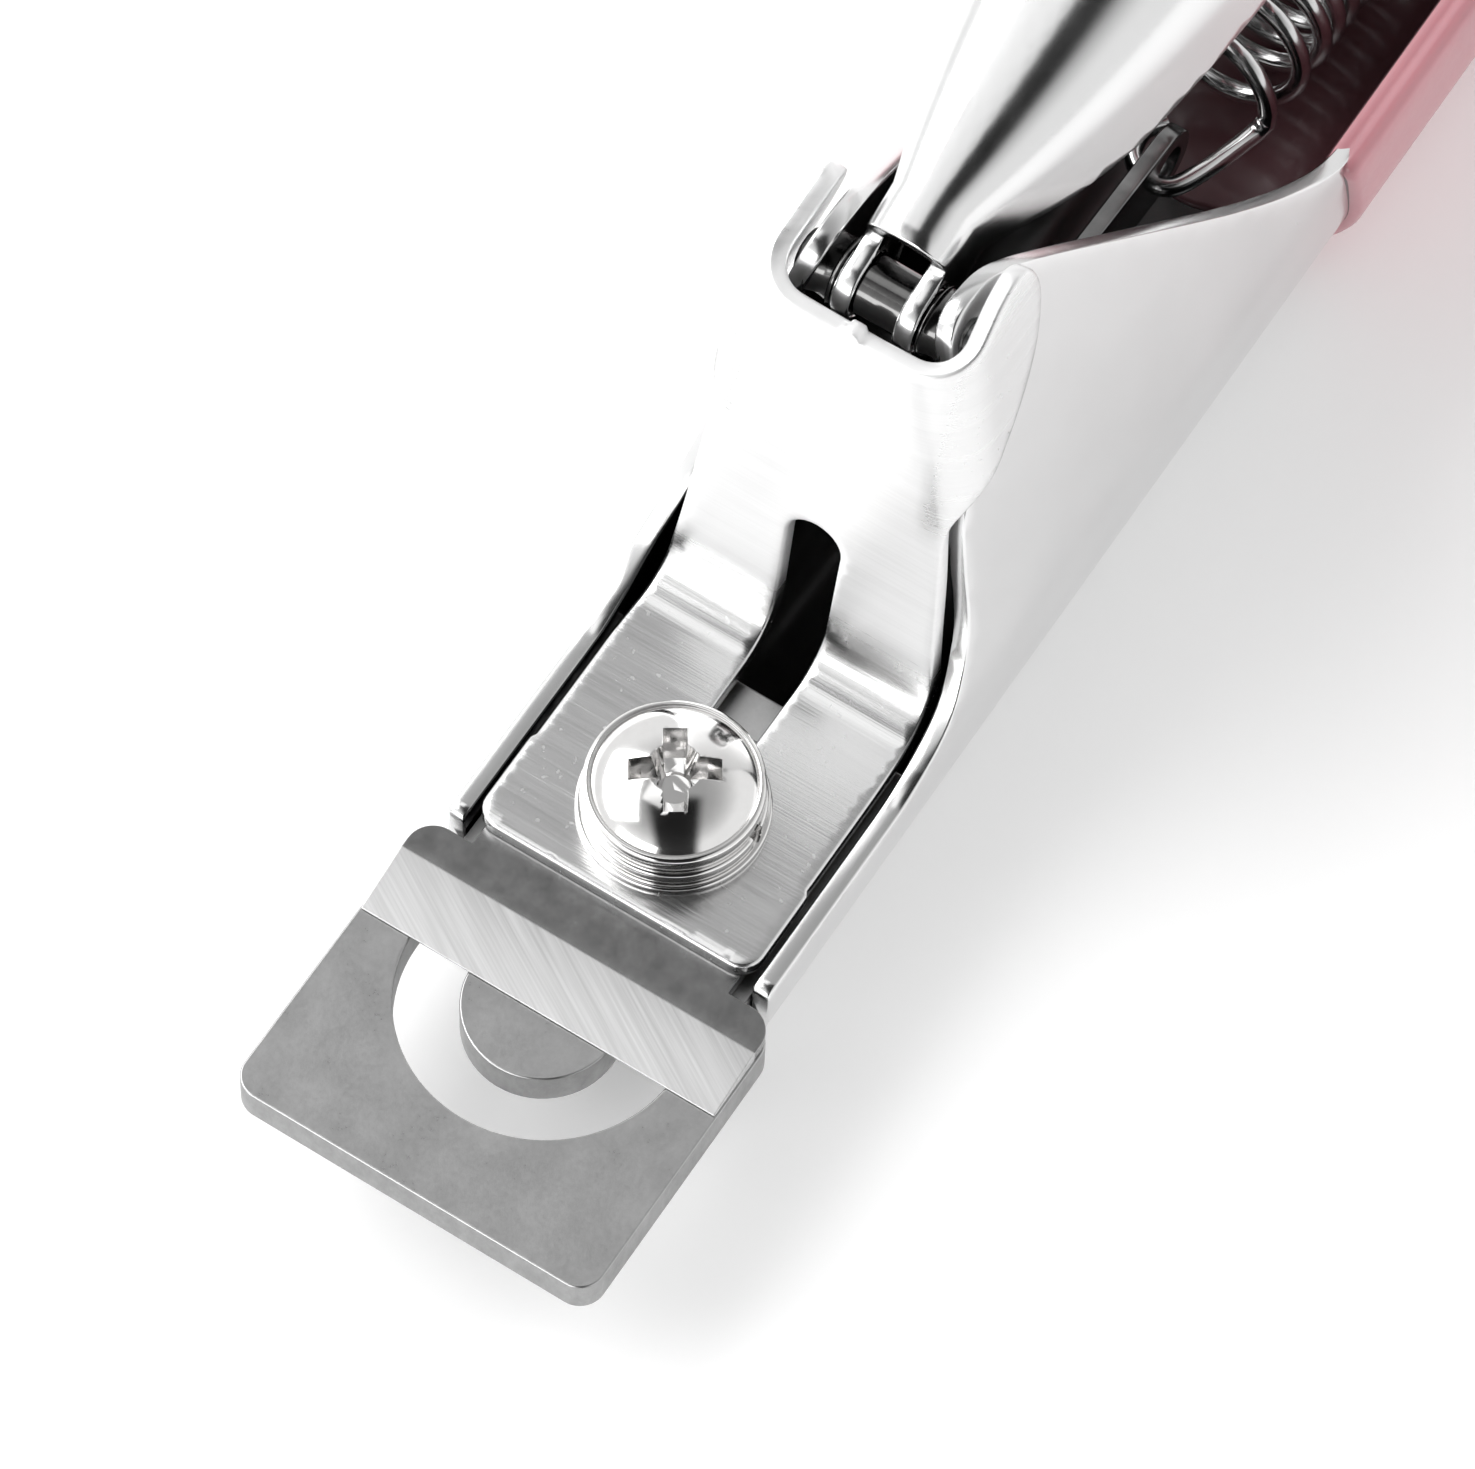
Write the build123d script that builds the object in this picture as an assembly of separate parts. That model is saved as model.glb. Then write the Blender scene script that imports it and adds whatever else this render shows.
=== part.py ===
"""Lever nail-tip cutter: a guillotine blade on a sliding carriage, driven by two sprung handles.

Millimetres. +X points out of the head, +Z is up, Y is across.
The origin is midway between the head's front edge and the lower handle's rear end, on the surface
that the lower grip rests on.
"""
from build123d import *
import os
from math import atan, cos, degrees, exp, radians, sin, tan

# ---- overall ----
FRONT_X = 75.0
REAR_X = -75.0
SHEET = 0.9
GRIP_OUT = 0.55
GRIP_IN = 0.3
GRIP_FRONT_X = 11.5

# ---- lower handle: a deep sheet channel with two tall ears ----
HANDLE_HALF = 8.3
HANDLE_FLOOR = GRIP_OUT
HANDLE_CORNER = 6.0
HANDLE_FRONT_X = 59.4
HANDLE_REAR_X = REAR_X + GRIP_OUT
HANDLE_RIM = 10.6
SIDE_RIM = 8.6
LEAN_START = 10.5
EAR_TOP_HALF = 3.6
SECTION_TOP = 40.0
EAR_TOP = 32.2
SECTION_DRAW_IN = 0.8
LEAN_ROUND = 9.0
END_ROUND = 5.5

# ---- pivot and drive ----
PIVOT_X = 38.0
PIVOT_Z = 29.6
PIVOT_R = 1.1
PIVOT_FIT = 0.03
PIN_STAND = 0.12
EAR_FRONT_X = 39.7
EAR_PEAK_X = 38.0
DRIVE_DROP = 13.9
DRIVE_START = 5.0
DRIVE_X = PIVOT_X - DRIVE_DROP * tan(radians(DRIVE_START))
DRIVE_Z = PIVOT_Z - DRIVE_DROP
DRIVE_R = 1.0
DRIVE_FIT = 0.25
TRAVEL = 6.0

# ---- head plate ----
PLATE_TOP = 7.2
PLATE_T = 2.0
PLATE_HALF = 9.2
PLATE_NECK_X = 60.2
PLATE_CORNER = 1.2
TAIL_X = 46.5
TAIL_HALF = 7.3
CUT_X = 64.3
CUT_R = 6.6
HORN_X = 63.5
TONGUE_X = 64.5
TONGUE_R = 3.6

# ---- blade ----
BLADE_GAP = 0.05
BLADE_T = 0.8
BLADE_EDGE_X = 65.0
BLADE_HALF = 9.1
BEVEL_BACK_X = 61.85
SHOULDER_X = 60.0
TANG_HALF = 6.6
TANG_X = 49.0
EDGE_LAND = 0.12

# ---- carriage ----
CARRIAGE_BOTTOM = PLATE_TOP + BLADE_GAP + BLADE_T
CARRIAGE_TOP = CARRIAGE_BOTTOM + SHEET
CARRIAGE_FRONT_X = 59.2
CARRIAGE_HALF = 7.0
PAD_HALF = 7.15
PAD_REAR_X = 54.5
WALL_X = 44.3
WALL_LEAN = 0.135
WALL_BEND = 2.6
NECK_HALF = 5.3
NECK_Z = 21.5
SADDLE_Z = 30.8
NOSE_FLAT = 2.8
NOSE_ROUND = 2.5
WING_SPREAD = 0.217
WING_REAR_X = 34.4
WING_LOW = 22.3
WING_TOP = 32.6
SLOT_HALF = 1.22
SLOT_FRONT_X = 50.6
SLOT_TOP_Z = 17.4

# ---- clamp screw stack, M4 ----
SCREW_X = 54.15
SCREW_R = 1.95
SCREW_HOLE = 2.1
SCREW_HEAD_R = 4.0
SCREW_HEAD_H = 2.6
WASHER_R = 4.3
WASHER_T = 0.5
LOCK_R = 4.1
LOCK_T = 0.9
LOCK_GAP = 0.7
NUT_FLATS = 7.0
NUT_T = 1.9
GUIDE_FIT = 0.1
RECESS_ARM = 2.3
RECESS_W = 1.15
RECESS_DEEP = 1.7
RECESS_TURN = 33.0

# ---- lever (upper handle), drawn level and turned about the pivot ----
LEVER_ANGLE = 18.0
LEVER_LONG = 112.0
CHEEK_OUT = 2.0
CHEEK_T = 0.8
LEG_HALF = 2.1
BOSS_R = 1.7
LEVER_TOP = 3.5
LEVER_GRIP_U = 29.0
LEVER_HALF = 7.8
LEVER_NECK_U = 4.0
LEVER_FLARE = 16.0
LEVER_STATIONS = [112, 60, 46, 38, 31, 25, 20, 16, 13, 10, 7, 4, 1.6]

# ---- spring, its link and its anchor ----
SPRING_R = 3.4
SPRING_WIRE = 0.95
SPRING_Z = 6.9
SPRING_FRONT_X = 8.6
SPRING_REAR_X = -25.0
LINK_T = 0.9
LINK_EYE_X = 13.2
ANCHOR_X = -30.0
EYE_R = 1.0

# ---- rivets ----
RIVET_X = 48.2
RIVET_Y = 3.6
RIVET_R = 1.0
RIVET_LIP = 0.7
ANCHOR_RIVET_X = ANCHOR_X - 3.7
ANCHOR_RIVET_LIP = 0.6
RIVET_FACE = 0.2


def box(x0, x1, y0, y1, z0, z1):
    """A plain block between two corners."""
    return Pos((x0 + x1) / 2, (y0 + y1) / 2, (z0 + z1) / 2) * Box(x1 - x0, y1 - y0, z1 - z0)


def rod_z(x, y, r, z0, z1):
    """A round bar standing along Z."""
    return Pos(x, y, (z0 + z1) / 2) * Cylinder(r, z1 - z0)


def rod_y(x, z, r, y0, y1):
    """A round bar lying along Y."""
    return Pos(x, (y0 + y1) / 2, z) * Rot(90, 0, 0) * Cylinder(r, y1 - y0)


def rod_x(y, z, r, x0, x1):
    """A round bar lying along X."""
    return Pos((x0 + x1) / 2, y, z) * Rot(0, 90, 0) * Cylinder(r, x1 - x0)


def side_plate(outline, y0, y1):
    """A plate whose outline is drawn in X and Z and which runs from y0 to y1."""
    face = Plane.XZ * make_face(outline)
    return Pos(0, y1, 0) * extrude(face, y1 - y0)


def side_polygon(points, y0, y1):
    """A straight-sided plate from X and Z corners."""
    return side_plate(Polyline(*points, close=True), y0, y1)


def plan_plate(points, z0, z1, corner=0.0):
    """A plate whose outline is drawn in X and Y, with rounded corners."""
    face = make_face(Polyline(*points, close=True))
    if corner:
        face = fillet(face.vertices(), corner)
    return Pos(0, 0, z0) * extrude(face, z1 - z0)


def export(shape, node):
    """Write one node's STEP file."""
    os.makedirs("parts", exist_ok=True)
    export_step(shape, f"parts/{node}.step")


# ---- lower handle ----
def handle_section(grow):
    """The filled outline of the channel in Y and Z, grown outwards by grow."""
    low = HANDLE_FLOOR
    points = [
        (-HANDLE_HALF, low),
        (HANDLE_HALF, low),
        (HANDLE_HALF, LEAN_START),
        (EAR_TOP_HALF, EAR_TOP),
        (EAR_TOP_HALF - SECTION_DRAW_IN, SECTION_TOP),
        (-EAR_TOP_HALF + SECTION_DRAW_IN, SECTION_TOP),
        (-EAR_TOP_HALF, EAR_TOP),
        (-HANDLE_HALF, LEAN_START),
    ]
    face = make_face(Polyline(*points, close=True))
    floor_corners = face.vertices().sort_by(Axis.Y)[:2]
    face = fillet(floor_corners, HANDLE_CORNER)
    lean = [v for v in face.vertices() if abs(v.Y - LEAN_START) < 0.01]
    face = fillet(lean, LEAN_ROUND)
    if grow:
        face = offset(face, grow, kind=Kind.INTERSECTION)
    return face


def along_x(face, x0, x1):
    """Extrude a Y-Z outline from x0 to x1."""
    plane = Plane(origin=(x0, 0, 0), x_dir=(0, 1, 0), z_dir=(1, 0, 0))
    return extrude(plane * face, x1 - x0)


def handle_side(rise, x0):
    """The channel's side view, with its rim raised by rise and cut off in front of x0."""
    front_z = SIDE_RIM + rise
    rear_z = HANDLE_RIM + rise
    line = Polyline(
        (REAR_X - 5, -5),
        (x0, -5),
        (x0, front_z),
        (48.6, front_z),
        (44.0, 11.4),
        (42.2, 14.0),
        (41.6, 18.0),
        (41.3, 20.6),
        (EAR_FRONT_X, 22.2),
        (EAR_FRONT_X, PIVOT_Z + 1.2),
    )
    crown = ThreePointArc(line @ 1, (EAR_FRONT_X - 0.5, EAR_TOP - 0.4), (EAR_PEAK_X, EAR_TOP))
    slope = Spline(
        crown @ 1,
        (EAR_PEAK_X - 1.9, EAR_TOP - 0.3),
        (31.2, 27.9),
        (19.4, 17.2),
        (GRIP_FRONT_X, HANDLE_RIM + 0.5),
        (GRIP_FRONT_X - 6.0, HANDLE_RIM),
    )
    rear = Polyline(slope @ 1, (REAR_X - 5, rear_z), (REAR_X - 5, -5))
    if rise:
        flare = (x0, HANDLE_RIM + 2.6 + rise)
        rim = [(GRIP_FRONT_X - 6.0, rear_z), (REAR_X - 5, rear_z)]
        return side_polygon([(REAR_X - 5, -5), (x0, -5), flare, *rim], -20, 20)
    return side_plate(line + crown + slope + rear, -20, 20)


def plan_end(rear_x, half, front_x):
    """A block that rounds the rear end of a handle in plan."""
    points = [(rear_x, -half), (front_x, -half), (front_x, half), (rear_x, half)]
    face = make_face(Polyline(*points, close=True))
    rear = face.vertices().sort_by(Axis.X)[:2]
    face = fillet(rear, END_ROUND)
    return Pos(0, 0, -20) * extrude(face, 140)


def lower_handle():
    shell = handle_section(0) - handle_section(-SHEET)
    body = along_x(shell, HANDLE_REAR_X, HANDLE_FRONT_X) & handle_side(0, HANDLE_FRONT_X + 1)
    body = body & plan_end(HANDLE_REAR_X, HANDLE_HALF + 1, HANDLE_FRONT_X + 1)
    body -= rod_y(PIVOT_X, PIVOT_Z, PIVOT_R, -20, 20)
    for side in (-1, 1):
        body -= rod_z(RIVET_X, side * RIVET_Y, RIVET_R, -1, 5)
    body -= rod_z(ANCHOR_RIVET_X, 0, RIVET_R, -1, 4)
    return body


def lower_grip():
    shell = handle_section(GRIP_OUT) - handle_section(-SHEET - GRIP_IN)
    body = along_x(shell, REAR_X, GRIP_FRONT_X) & handle_side(GRIP_OUT, GRIP_FRONT_X + 1)
    body = body & plan_end(REAR_X, HANDLE_HALF + GRIP_OUT + 1, GRIP_FRONT_X + 1)
    front_scoop = rod_y(GRIP_FRONT_X + 6.6, 9.5, 7.4, -20, 20)
    body -= front_scoop
    body -= lower_handle()
    body -= rod_z(ANCHOR_RIVET_X, 0, 1.9, -1, 4)
    body -= box(ANCHOR_X - 5.8, ANCHOR_X + 1.2, -2.4, 2.4, HANDLE_FLOOR + SHEET, 6.0)
    return body


# ---- head ----
def crescent():
    """The nail opening: a round hole with a tongue left standing in it."""
    z0 = PLATE_TOP - PLATE_T - 1
    z1 = PLATE_TOP + 1
    hole = rod_z(CUT_X, 0, CUT_R, z0, z1) & box(HORN_X, 80, -20, 20, z0, z1)
    tongue = rod_z(TONGUE_X, 0, TONGUE_R, z0, z1) + box(50, TONGUE_X, -TONGUE_R, TONGUE_R, z0, z1)
    return hole - tongue


def guide_slot(z0, z1):
    """The straight slot that the screw runs in."""
    half = SCREW_R + GUIDE_FIT
    rear_x = SCREW_X - 0.05
    front_x = SCREW_X + TRAVEL + 0.15
    run = box(rear_x, front_x, -half, half, z0, z1)
    return run + rod_z(rear_x, 0, half, z0, z1) + rod_z(front_x, 0, half, z0, z1)


def head_plate():
    z0 = PLATE_TOP - PLATE_T
    head = plan_plate(
        [
            (PLATE_NECK_X, -PLATE_HALF),
            (FRONT_X, -PLATE_HALF),
            (FRONT_X, PLATE_HALF),
            (PLATE_NECK_X, PLATE_HALF),
        ],
        z0,
        PLATE_TOP,
        PLATE_CORNER,
    )
    tail = box(TAIL_X, PLATE_NECK_X + 3, -TAIL_HALF, TAIL_HALF, z0, PLATE_TOP)
    tail = tail & along_x(handle_section(-SHEET), TAIL_X - 1, FRONT_X)
    body = head + tail - crescent() - guide_slot(z0 - 1, PLATE_TOP + 1)
    for side in (-1, 1):
        body -= rod_z(RIVET_X, side * RIVET_Y, RIVET_R, z0 - 1, PLATE_TOP + 1)
    return body


def head_bed():
    """The saddle block between the channel's floor and the head plate's tail."""
    top = PLATE_TOP - PLATE_T
    fill = along_x(handle_section(-SHEET), TAIL_X, HANDLE_FRONT_X - 0.6)
    body = fill & box(TAIL_X, HANDLE_FRONT_X, -10, 10, 0, top)
    body -= box(TAIL_X + 2.9, 70, -4.9, 4.9, 0, 10)
    for side in (-1, 1):
        body -= rod_z(RIVET_X, side * RIVET_Y, RIVET_R, -1, top + 1)
    return body


def head_rivets():
    rivets = []
    for side in (-1, 1):
        y = side * RIVET_Y
        shank = rod_z(RIVET_X, y, RIVET_R, HANDLE_FLOOR, PLATE_TOP)
        outer = along_x(handle_section(0), RIVET_X - 4, RIVET_X + 4)
        head = rod_z(RIVET_X, y, RIVET_R + RIVET_LIP, RIVET_FACE, 1.6) - outer
        rivets.append(shank & outer)
        rivets[-1] = rivets[-1] + head
    return Compound(children=rivets)


# ---- pivot ----
def ear_half(z):
    """The channel's outer half width at height z, where its sides lean in."""
    rise = (z - LEAN_START) / (EAR_TOP - LEAN_START)
    return HANDLE_HALF + (EAR_TOP_HALF - HANDLE_HALF) * rise


def pivot_pin():
    reach = ear_half(PIVOT_Z)
    return rod_y(PIVOT_X, PIVOT_Z, PIVOT_R, -reach - PIN_STAND, reach + PIN_STAND)


def pivot_spacers():
    """Two sleeves on the pin that keep the lever between the ears."""
    inner = along_x(handle_section(-SHEET), PIVOT_X - 5, PIVOT_X + 5)
    sleeves = []
    for side in (-1, 1):
        y0 = side * (CHEEK_OUT + 0.06)
        y1 = side * 6.0
        sleeve = rod_y(PIVOT_X, PIVOT_Z, BOSS_R, min(y0, y1), max(y0, y1))
        sleeve -= rod_y(PIVOT_X, PIVOT_Z, PIVOT_R + PIVOT_FIT, -8, 8)
        sleeves.append(sleeve & inner)
    return Compound(children=sleeves)


# ---- carriage ----
def wall_x(z):
    """X of the rear wall's front face at height z."""
    return WALL_X - WALL_LEAN * (z - CARRIAGE_TOP)


def nose_half(z):
    """How far the upper wall is flat on each side at height z: it widens downwards with the ears."""
    return NOSE_FLAT + WING_SPREAD * (SADDLE_Z - z)


def carriage_sheet():
    """The flat, the bend and the rear wall, as one folded strip."""
    turn = radians(90) - atan(WALL_LEAN)
    back_corner = WALL_X - SHEET * tan(turn / 2)
    top_z = SADDLE_Z
    back_top_x = back_corner - WALL_LEAN * (top_z - CARRIAGE_BOTTOM)
    front = FilletPolyline(
        (CARRIAGE_FRONT_X, CARRIAGE_TOP), (WALL_X, CARRIAGE_TOP), (wall_x(top_z), top_z), radius=WALL_BEND
    )
    back = FilletPolyline(
        (CARRIAGE_FRONT_X, CARRIAGE_BOTTOM),
        (back_corner, CARRIAGE_BOTTOM),
        (back_top_x, top_z),
        radius=WALL_BEND + SHEET,
    )
    outline = front + back + Line(front @ 0, back @ 0) + Line(front @ 1, back @ 1)
    strip = side_plate(outline, -PAD_HALF, PAD_HALF)
    shape = [
        (0, 0),
        (PAD_HALF, 0),
        (PAD_HALF, 10.0),
        (NECK_HALF, NECK_Z),
        (nose_half(NECK_Z + 2.0), NECK_Z + 2.0),
        (nose_half(SADDLE_Z), SADDLE_Z),
        (nose_half(SADDLE_Z), 45),
    ]
    mirror_points = [(-y, z) for y, z in reversed(shape)]
    front_view = make_face(Polyline(*shape, *mirror_points[:-1], close=True))
    return strip & along_x(front_view, 20, 80)


def wrap_outline(z, inset):
    """The wrapped wall's outline in plan at height z, drawn in by inset."""
    rear_x = WING_REAR_X - 6 - inset
    flat_y = nose_half(z)
    nose_x = wall_x(z) - inset
    bend_r = NOSE_ROUND - inset
    line = Line((rear_x, flat_y + bend_r), (nose_x - bend_r, flat_y + bend_r))
    bend = RadiusArc(line @ 1, (nose_x, flat_y), bend_r)
    half = line + bend + Line(bend @ 1, (nose_x, 0))
    back = Line((rear_x, flat_y + bend_r), (rear_x, -flat_y - bend_r))
    return Pos(0, 0, z) * make_face(half + mirror(half, Plane.XZ) + back)


def carriage_wrap():
    """The curved upper wall and its two wings, which reach back outside the ears."""
    low_z = WING_LOW - 0.5
    high_z = WING_TOP + 0.5
    outer = loft([wrap_outline(low_z, 0), wrap_outline(high_z, 0)], ruled=True)
    inner = loft([wrap_outline(low_z - 1, SHEET), wrap_outline(high_z + 1, SHEET)], ruled=True)
    wrap = outer - inner
    mid = (WING_LOW + WING_TOP) / 2
    round_r = (WING_TOP - WING_LOW) / 2
    side = box(WING_REAR_X + round_r, 50, -9, 9, WING_LOW, WING_TOP)
    side += rod_y(WING_REAR_X + round_r, mid, round_r, -9, 9)
    wrap = wrap & side
    saddle = side_polygon(
        [(39.4, 45), (39.4, WING_TOP - 0.3), (40.6, SADDLE_Z), (50, SADDLE_Z), (50, 45)], -20, 20
    )
    return wrap - saddle


def slide_cover():
    body = carriage_sheet() + carriage_wrap()
    for side in (-1, 1):
        y0 = side * CARRIAGE_HALF
        y1 = side * 9
        body -= box(46.0, PAD_REAR_X, min(y0, y1), max(y0, y1), 0, 9.5)
    z0 = CARRIAGE_BOTTOM - 1
    slot = box(WALL_X - 6, SLOT_FRONT_X, -SLOT_HALF, SLOT_HALF, z0, CARRIAGE_TOP + 1)
    slot += rod_z(SLOT_FRONT_X, 0, SLOT_HALF, z0, CARRIAGE_TOP + 1)
    slot += box(38, 47, -SLOT_HALF, SLOT_HALF, z0, SLOT_TOP_Z - SLOT_HALF)
    slot += rod_x(0, SLOT_TOP_Z - SLOT_HALF, SLOT_HALF, 38, 47)
    body -= slot
    body -= rod_z(SCREW_X, 0, SCREW_HOLE, z0, CARRIAGE_TOP + 1)
    edges = [
        e
        for e in body.edges().filter_by(Axis.Z)
        if e.center().X > CARRIAGE_FRONT_X - 0.1 and abs(e.center().Y) > 6
    ]
    return fillet(edges, 1.0)


def blade():
    z0 = PLATE_TOP + BLADE_GAP
    head = plan_plate(
        [
            (SHOULDER_X, -BLADE_HALF),
            (BLADE_EDGE_X, -BLADE_HALF),
            (BLADE_EDGE_X, BLADE_HALF),
            (SHOULDER_X, BLADE_HALF),
        ],
        z0,
        z0 + BLADE_T,
    )
    rear = [e for e in head.edges().filter_by(Axis.Z) if e.center().X < SHOULDER_X + 0.1]
    head = fillet(rear, 1.3)
    bevel = side_polygon(
        [
            (BEVEL_BACK_X, z0 + BLADE_T),
            (BLADE_EDGE_X + 0.1, z0 + EDGE_LAND),
            (BLADE_EDGE_X + 0.1, z0 + BLADE_T + 1),
            (BEVEL_BACK_X, z0 + BLADE_T + 1),
        ],
        -12,
        12,
    )
    tang = box(TANG_X, SHOULDER_X + 1, -TANG_HALF, TANG_HALF, z0, z0 + BLADE_T)
    body = head + tang - bevel
    return body - rod_z(SCREW_X, 0, SCREW_HOLE, z0 - 1, z0 + BLADE_T + 1)


def clamp_screw():
    base = CARRIAGE_TOP + WASHER_T + LOCK_T
    low = PLATE_TOP - PLATE_T - WASHER_T - BLADE_GAP - NUT_T
    shank = rod_z(SCREW_X, 0, SCREW_R, low, base + 0.2)
    rim = rod_z(SCREW_X, 0, SCREW_HEAD_R, base, base + 0.9)
    dome_r = (SCREW_HEAD_R**2 + (SCREW_HEAD_H - 0.7) ** 2) / (2 * (SCREW_HEAD_H - 0.7))
    dome = Pos(SCREW_X, 0, base + SCREW_HEAD_H - dome_r) * Sphere(dome_r)
    dome = dome & rod_z(SCREW_X, 0, SCREW_HEAD_R - 0.25, base + 0.8, base + SCREW_HEAD_H + 1)
    head = rim + dome
    top = base + SCREW_HEAD_H
    recess = box(-RECESS_ARM, RECESS_ARM, -RECESS_W / 2, RECESS_W / 2, top - RECESS_DEEP, top + 1)
    recess += Rot(0, 0, 90) * recess
    core = Pos(0, 0, top - RECESS_DEEP / 2) * Cone(0.5, 1.25, RECESS_DEEP)
    return shank + head - Pos(SCREW_X, 0, 0) * Rot(0, 0, RECESS_TURN) * (recess + core)


def ring(r_out, r_in, z0, z1):
    return rod_z(SCREW_X, 0, r_out, z0, z1) - rod_z(SCREW_X, 0, r_in, z0 - 1, z1 + 1)


def flat_washer():
    return ring(WASHER_R, SCREW_HOLE, CARRIAGE_TOP, CARRIAGE_TOP + WASHER_T)


def lock_washer():
    z0 = CARRIAGE_TOP + WASHER_T
    split = Pos(SCREW_X, 3, z0) * Rot(0, 25, 0) * Box(LOCK_GAP, 6, 4)
    return ring(LOCK_R, SCREW_HOLE + 0.1, z0, z0 + LOCK_T) - split


def nut_washer():
    top = PLATE_TOP - PLATE_T - BLADE_GAP
    return ring(WASHER_R, SCREW_HOLE, top - WASHER_T, top)


def slide_nut():
    top = PLATE_TOP - PLATE_T - BLADE_GAP - WASHER_T
    hexagon = RegularPolygon(NUT_FLATS / 2, 6, major_radius=False)
    body = Pos(SCREW_X, 0, top - NUT_T) * extrude(hexagon, NUT_T)
    return body - rod_z(SCREW_X, 0, SCREW_R, top - NUT_T - 1, top + 1)


def drive_lugs():
    """Two ears on the back of the rear wall that carry the drive pin."""
    lugs = []
    back = WALL_X - SHEET * tan((radians(90) - atan(WALL_LEAN)) / 2)
    z_low = DRIVE_Z - 2.2
    z_high = DRIVE_Z + 2.2
    x_low = back - WALL_LEAN * (z_low - CARRIAGE_BOTTOM)
    x_high = back - WALL_LEAN * (z_high - CARRIAGE_BOTTOM)
    for side in (-1, 1):
        y0 = side * 2.5
        y1 = side * 3.3
        y2 = side * 5.3
        plate = side_polygon(
            [(x_low, z_low), (x_high, z_high), (DRIVE_X, z_high), (DRIVE_X, z_low)], min(y0, y1), max(y0, y1)
        )
        plate += rod_y(DRIVE_X, DRIVE_Z, 2.2, min(y0, y1), max(y0, y1))
        foot = side_polygon(
            [(x_low, z_low), (x_high, z_high), (x_high - 0.8, z_high), (x_low - 0.8, z_low)],
            min(y0, y2),
            max(y0, y2),
        )
        lugs.append(plate + foot - rod_y(DRIVE_X, DRIVE_Z, DRIVE_R, -8, 8))
    return Compound(children=lugs)


def drive_pin():
    return rod_y(DRIVE_X, DRIVE_Z, DRIVE_R, -3.7, 3.7)


def pull_link():
    """The strap from the drive pin back to the spring."""
    half = LINK_T / 2
    z0 = SPRING_Z
    body = rod_y(DRIVE_X, DRIVE_Z, 1.9, -half, half)
    body += side_polygon(
        [
            (DRIVE_X, DRIVE_Z + 1.7),
            (LINK_EYE_X + 8, z0 + 2.6),
            (LINK_EYE_X, z0 + 1.9),
            (LINK_EYE_X, z0 - 1.9),
            (LINK_EYE_X + 9, z0 - 1.2),
            (DRIVE_X, DRIVE_Z - 1.8),
        ],
        -half,
        half,
    )
    body += rod_y(LINK_EYE_X, z0, 1.9, -half, half)
    body -= rod_y(DRIVE_X, DRIVE_Z, DRIVE_R, -8, 8)
    return body - rod_y(LINK_EYE_X, z0, EYE_R, -8, 8)


# ---- lever ----
def lever_section(u, half, low, inset):
    """An upside-down U, filled, at distance u behind the pivot."""
    half = half - inset
    top = LEVER_TOP - inset
    round_r = half * 0.86
    side_z = top - round_r
    arc = round_r * (1 - cos(radians(45)))
    right = Polyline((0, low), (half, low), (half, side_z))
    corner = ThreePointArc((half, side_z), (half - arc, top - arc), (half - round_r, top))
    left_corner = ThreePointArc((-half + round_r, top), (-half + arc, top - arc), (-half, side_z))
    left = Polyline((-half, side_z), (-half, low), (0, low))
    outline = right + corner + Line((half - round_r, top), (-half + round_r, top)) + left_corner + left
    plane = Plane(origin=(-u, 0, 0), x_dir=(0, 1, 0), z_dir=(1, 0, 0))
    return plane * make_face(outline)


def lever_half(u):
    """The lever's half width at distance u behind the pivot."""
    return LEVER_HALF - (LEVER_HALF - CHEEK_OUT) * exp(-max(u - LEVER_NECK_U, 0) / LEVER_FLARE)


def lever_solid(inset, u0, u1, low):
    """The filled lever between two distances behind the pivot."""
    faces = [lever_section(u, lever_half(u), low, inset) for u in LEVER_STATIONS]
    whole = loft(faces, ruled=True)
    return whole & box(-u1, -u0, -20, 20, -20, 20)


def lever_side(drop):
    """The lever's side view: its lower edge, lowered by drop."""
    lower = Spline((-3.0, 0.4 - drop), (-8.0, -4.4 - drop), (-14.0, -6.3 - drop), (-30.0, -6.2 - drop))
    rest = Polyline((-30.0, -6.2 - drop), (-LEVER_LONG - 5, -4.8 - drop), (-LEVER_LONG - 5, 20), (-3.0, 20))
    back = Line((-3.0, 20), (-3.0, 0.4 - drop))
    return side_plate(lower + rest + back, -20, 20)


def cheek(side):
    """One flat cheek: the boss on the pivot and the forked leg below it."""
    y0 = side * (CHEEK_OUT - CHEEK_T)
    y1 = side * CHEEK_OUT
    low, high = min(y0, y1), max(y0, y1)
    lean = radians(LEVER_ANGLE)
    fork_x = (DRIVE_X - PIVOT_X) * cos(lean) - (DRIVE_Z - PIVOT_Z) * sin(lean)
    fork_z = (DRIVE_X - PIVOT_X) * sin(lean) + (DRIVE_Z - PIVOT_Z) * cos(lean)
    reach = (fork_x**2 + fork_z**2) ** 0.5
    leg_angle = -degrees(atan(fork_x / -fork_z))
    leg = box(-LEG_HALF, LEG_HALF, low, high, -reach - 3.0, -1.0)
    leg += side_polygon([(-1.7, 0), (1.7, 0), (LEG_HALF, -3), (-LEG_HALF, -3)], low, high)
    fork = box(-DRIVE_R - DRIVE_FIT, DRIVE_R + DRIVE_FIT, -8, 8, -reach - 8, -reach)
    fork += rod_y(0, -reach, DRIVE_R + DRIVE_FIT, -8, 8)
    leg = Rot(0, leg_angle, 0) * (leg - fork)
    boss = rod_y(0, 0, BOSS_R, low, high)
    web = side_polygon([(0, BOSS_R), (-3.8, 3.2), (-3.8, -2.6), (-0.5, -BOSS_R)], low, high)
    return leg + boss + web


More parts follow.
